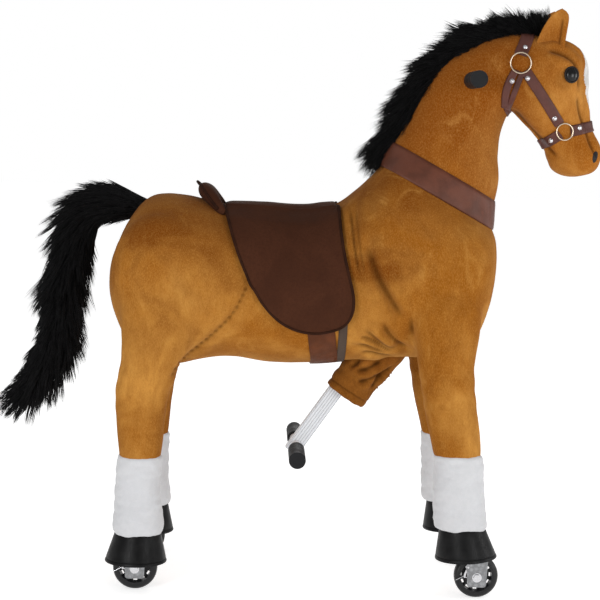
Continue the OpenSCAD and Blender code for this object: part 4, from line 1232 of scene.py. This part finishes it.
def fur(name, roots, normals, flow, length, width, clump, seed, spread, droop=0.0):
    """Locks of hair as tapered three-sided strands, drawn together in pointed tufts."""
    segments, pull_in = 5, 0.66
    r = np.random.default_rng(seed)
    n = len(roots)
    lead = r.choice(n, n // clump, replace=False)
    nearest = np.empty(n, int)
    for start in range(0, n, 2000):
        part = roots[start:start + 2000]
        nearest[start:start + 2000] = lead[((part[:, None] - roots[lead]) ** 2).sum(2).argmin(1)]
    way = unit(normals * 0.9 + flow + r.normal(0, spread, (n, 3)))
    bend = r.normal(0, 0.7 * spread, (n, 3)) - (0, 0, droop)
    size = (length * r.uniform(0.66, 1.22, n) * (1 + 0.34 * value_noise(roots, 0.021, seed)))[:, None, None]
    t = np.linspace(0, 1, segments + 1)
    s = t[:, None]
    own = roots[:, None] + size * (way[:, None] * s + bend[:, None] * s * s * 0.5)
    pull = pull_in * s ** 1.3
    points = own * (1 - pull) + own[nearest] * pull
    ahead = unit(np.gradient(points, axis=1))
    side = unit(np.cross(ahead, r.normal(0, 1, (n, 1, 3))))
    over = np.cross(ahead, side)
    radius = (width * (1 - t[:-1]) ** 0.55 * 0.5)[:, None]
    corners = [points[:, :-1] + radius * (math.cos(q) * side[:, :-1] + math.sin(q) * over[:, :-1])
               for q in turns(3)]
    body = np.stack(corners, 2).reshape(n, segments * 3, 3)
    strands = np.concatenate([body, points[:, -1:]], axis=1)
    each = segments * 3 + 1
    base = each * np.arange(n)[:, None, None]
    tips = [(each - 4 + c, each - 4 + (c + 1) % 3, each - 1) for c in range(3)] + [(2, 1, 0)]
    quads = (base + np.array(grid_faces(segments, 3, True))).reshape(-1, 4)
    ends = (base + np.array(tips)).reshape(-1, 3)
    mesh = bpy.data.meshes.new(name)
    mesh.from_pydata(strands.reshape(-1, 3).tolist(), [], quads.tolist() + ends.tolist())
    mesh.polygons.foreach_set("use_smooth", [True] * len(mesh.polygons))
    return add_object(name, mesh)


def scatter(piece, tries, count, seed, keep=lambda p, n: slice(None)):
    """Up to count random places on a piece's surface, even by area, with their normals."""
    r = np.random.default_rng(seed)
    piece.data.calc_loop_triangles()
    tris = read(piece.data.loop_triangles, "vertices", 3, int)
    a, b, c = points_of(piece)[tris.T]
    area = np.linalg.norm(np.cross(b - a, c - a), axis=1)
    pick = r.choice(len(tris), tries, p=area / area.sum())
    u, v = r.random(tries), r.random(tries)
    flip = u + v > 1
    u[flip], v[flip] = 1 - u[flip], 1 - v[flip]
    at = a[pick] + u[:, None] * (b - a)[pick] + v[:, None] * (c - a)[pick]
    out = unit(normals_of(piece)[tris[pick]].mean(1))
    good = keep(at, out)
    return at[good][:count], out[good][:count]


TAIL = [
    (-300, 734, -318, 700, 16), (-335, 747, -352, 698, 22), (-384, 750, -384, 692, 25),
    (-430, 734, -404, 668, 27), (-456, 692, -418, 636, 27), (-471, 622, -430, 590, 27),
    (-484, 548, -440, 532, 28), (-490, 478, -448, 462, 27), (-510, 420, -474, 400, 24),
    (-536, 372, -508, 350, 17), (-556, 338, -544, 328, 8)]
MANE_SKIN = [(176, 868), (190, 902), (207, 936), (232, 978), (262, 1014), (300, 1040), (340, 1060),
             (380, 1072), (420, 1076), (448, 1071), (472, 1063)]
MANE_PARTS = ((0.10, 0.28, 7400), (0.28, 0.472, 7000))      # from x, to x, strands
TAIL_STRANDS = 7400


def make_tail():
    core = make_mesh("tail", *loft(TAIL, 0, 24, 6, 2.0))
    finish(core, HAIR, "hair_black", "trunk", "tail")
    line = smooth_path([((s[0] + s[2]) / 2, 0, (s[1] + s[3]) / 2) for s in TAIL], 6) * MM
    roots, out = scatter(core, 2 * TAIL_STRANDS, TAIL_STRANDS, 51)
    near = ((roots[:, None] - line) ** 2).sum(2).argmin(1)
    share = near / len(line)
    flow = unit(np.gradient(line, axis=0))[near] * np.interp(share, (0, 0.25, 0.4), (3.0, 2.4, 1.75))[:, None]
    flow[:, 2] -= 0.15
    length = np.interp(share, (0, 0.12, 0.5, 0.85, 1), (0.040, 0.060, 0.070, 0.058, 0.040))
    locks = fur("tail_hair", roots, out, flow, length, 0.0018, 11, 52, 0.17, 0.12)
    finish(locks, HAIR, "hair_black", "trunk")


def make_mane(bvh):
    """A thick crest of hair along the neck, with a forelock between the ears."""
    count = 90
    line = even(smooth_path(MANE_SKIN, 8), count) * MM
    run = unit(np.gradient(line, axis=0))
    run, up = (np.stack([x, np.zeros(count), z], 1) for x, z in (run.T, (-run[:, 1], run[:, 0])))
    half = 0.019 * (1 - 0.5 * np.maximum(0, (np.arange(count) - 68) / 22))
    across = np.linspace(-1, 1, 15)
    at, _ = hit_grid([[spot(bvh, (x - u[0] * 0.05, w * h, z - u[2] * 0.05), u, 0.3) for w in across]
                      for (x, z), u, h in zip(line, up, half)])
    top = at + up[:, None] * (0.015 * (1 - across ** 2))[:, None]
    crest = sheet_solid("mane", top, top - up[:, None] * 0.018, 0.2)
    finish(crest, HAIR, "hair_black", "neck", "mane")

    def nearest(p):
        return ((p[:, None, [0, 2]] - line) ** 2).sum(2).argmin(1)

    for part, (low_x, high_x, strands) in enumerate(MANE_PARTS):
        def keep(p, n):
            return ((n * up[nearest(p)]).sum(1) > -0.1) & (p[:, 0] >= low_x) & (p[:, 0] < high_x)
        roots, out = scatter(crest, 6 * strands, strands, 61 + part, keep)
        k = nearest(roots)
        back = np.interp(k / count, (0, 0.5, 0.8, 0.9, 1), (1.9, 1.9, 1.5, 0.8, 0.3))[:, None]
        length = np.interp(k / count, (0, 0.1, 0.3, 0.5, 0.75, 0.9, 1),
                           (0.080, 0.082, 0.068, 0.060, 0.058, 0.056, 0.052))
        flow = up[k] * 0.10 - run[k] * back
        locks = fur(f"mane_hair_{part + 1}", roots - out * 0.006, out * (1, 0.5, 1), flow, length, 0.0016, 14,
                    63 + part, 0.19)
        finish(locks, HAIR, "hair_black", "neck")


# ---------------- carried-over nodes

NODE_PAINTS = (              # the material, whole node names and beginnings of names
    (FRAME_PAINT, ("chassis", "front_leg_frame", "rear_leg_frame", "neck_frame"), ()),
    (NYLON, ("bushes", "fork_bushes"), ()), (WOOD, ("saddle_board",), ()), (SPRING, ("return_spring",), ()),
    (RIBBED, ("foot_bar",), ()), (WHITE_PAINT, ("foot_peg_rod",), ()),
    (GRIP, ("foot_grips", "hand_grips"), ()), (TYRE, (), ("tyre",)), (CORE, (), ("core",)),
    (ZINC, ("handlebar", "rear_forks", "sync_link"), ("front_fork",)),
    (BRIGHT, ("rear_axles",), ("front_axle", "bearings", "pawl")))


def paint_nodes():
    for name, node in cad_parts.items():
        for material, names, starts in NODE_PAINTS:
            if name in names or name.startswith(starts):
                for slot in node.material_slots:
                    slot.material = material


# ---------------- the whole horse

make_camera()
make_studio()
skin, front, rear = make_body()
skin_bvh = bvh_of(skin)
head = make_head()
head_bvh = bvh_of(head)
make_collar(bvh_of(skin, head))
make_eyes(head_bvh)
make_nostrils(head_bvh)
make_ears()
make_halter(head_bvh)
seat = make_seat(skin_bvh)
bed_bvh = bvh_of(skin, seat)
for side, word in SIDES:
    make_flap(bed_bvh, side, word)
make_cantle(skin_bvh)
make_girth(skin_bvh, "girth_strap", GIRTH, "strap_brown", 0.0345, 0.047, 0.050, 0.0024)
make_girth(skin_bvh, "cinch_strap", WEBBING, "webbing", 0.0785, 0.0785, 0.0145, 0.0022)
make_sleeve()
for side, word in SIDES:
    make_sock(f"front_sock_{word}", FRONT_SOCK, side, "front_legs", "front_socks", 1 + side)
    make_sock(f"rear_sock_{word}", REAR_SOCK, side, "rear_legs", "rear_socks", 5 + side)
    make_hoof(f"front_hoof_{word}", 319, 328.5, 137, 77, side, "front_legs", "front_hooves", 0.075)
    make_hoof(f"rear_hoof_{word}", -297.5, -300.5, 111, 54, side, "rear_legs", "rear_hooves")
make_tail()
make_mane(head_bvh)
discard(skin)
bend_body(front, rear)
paint_nodes()
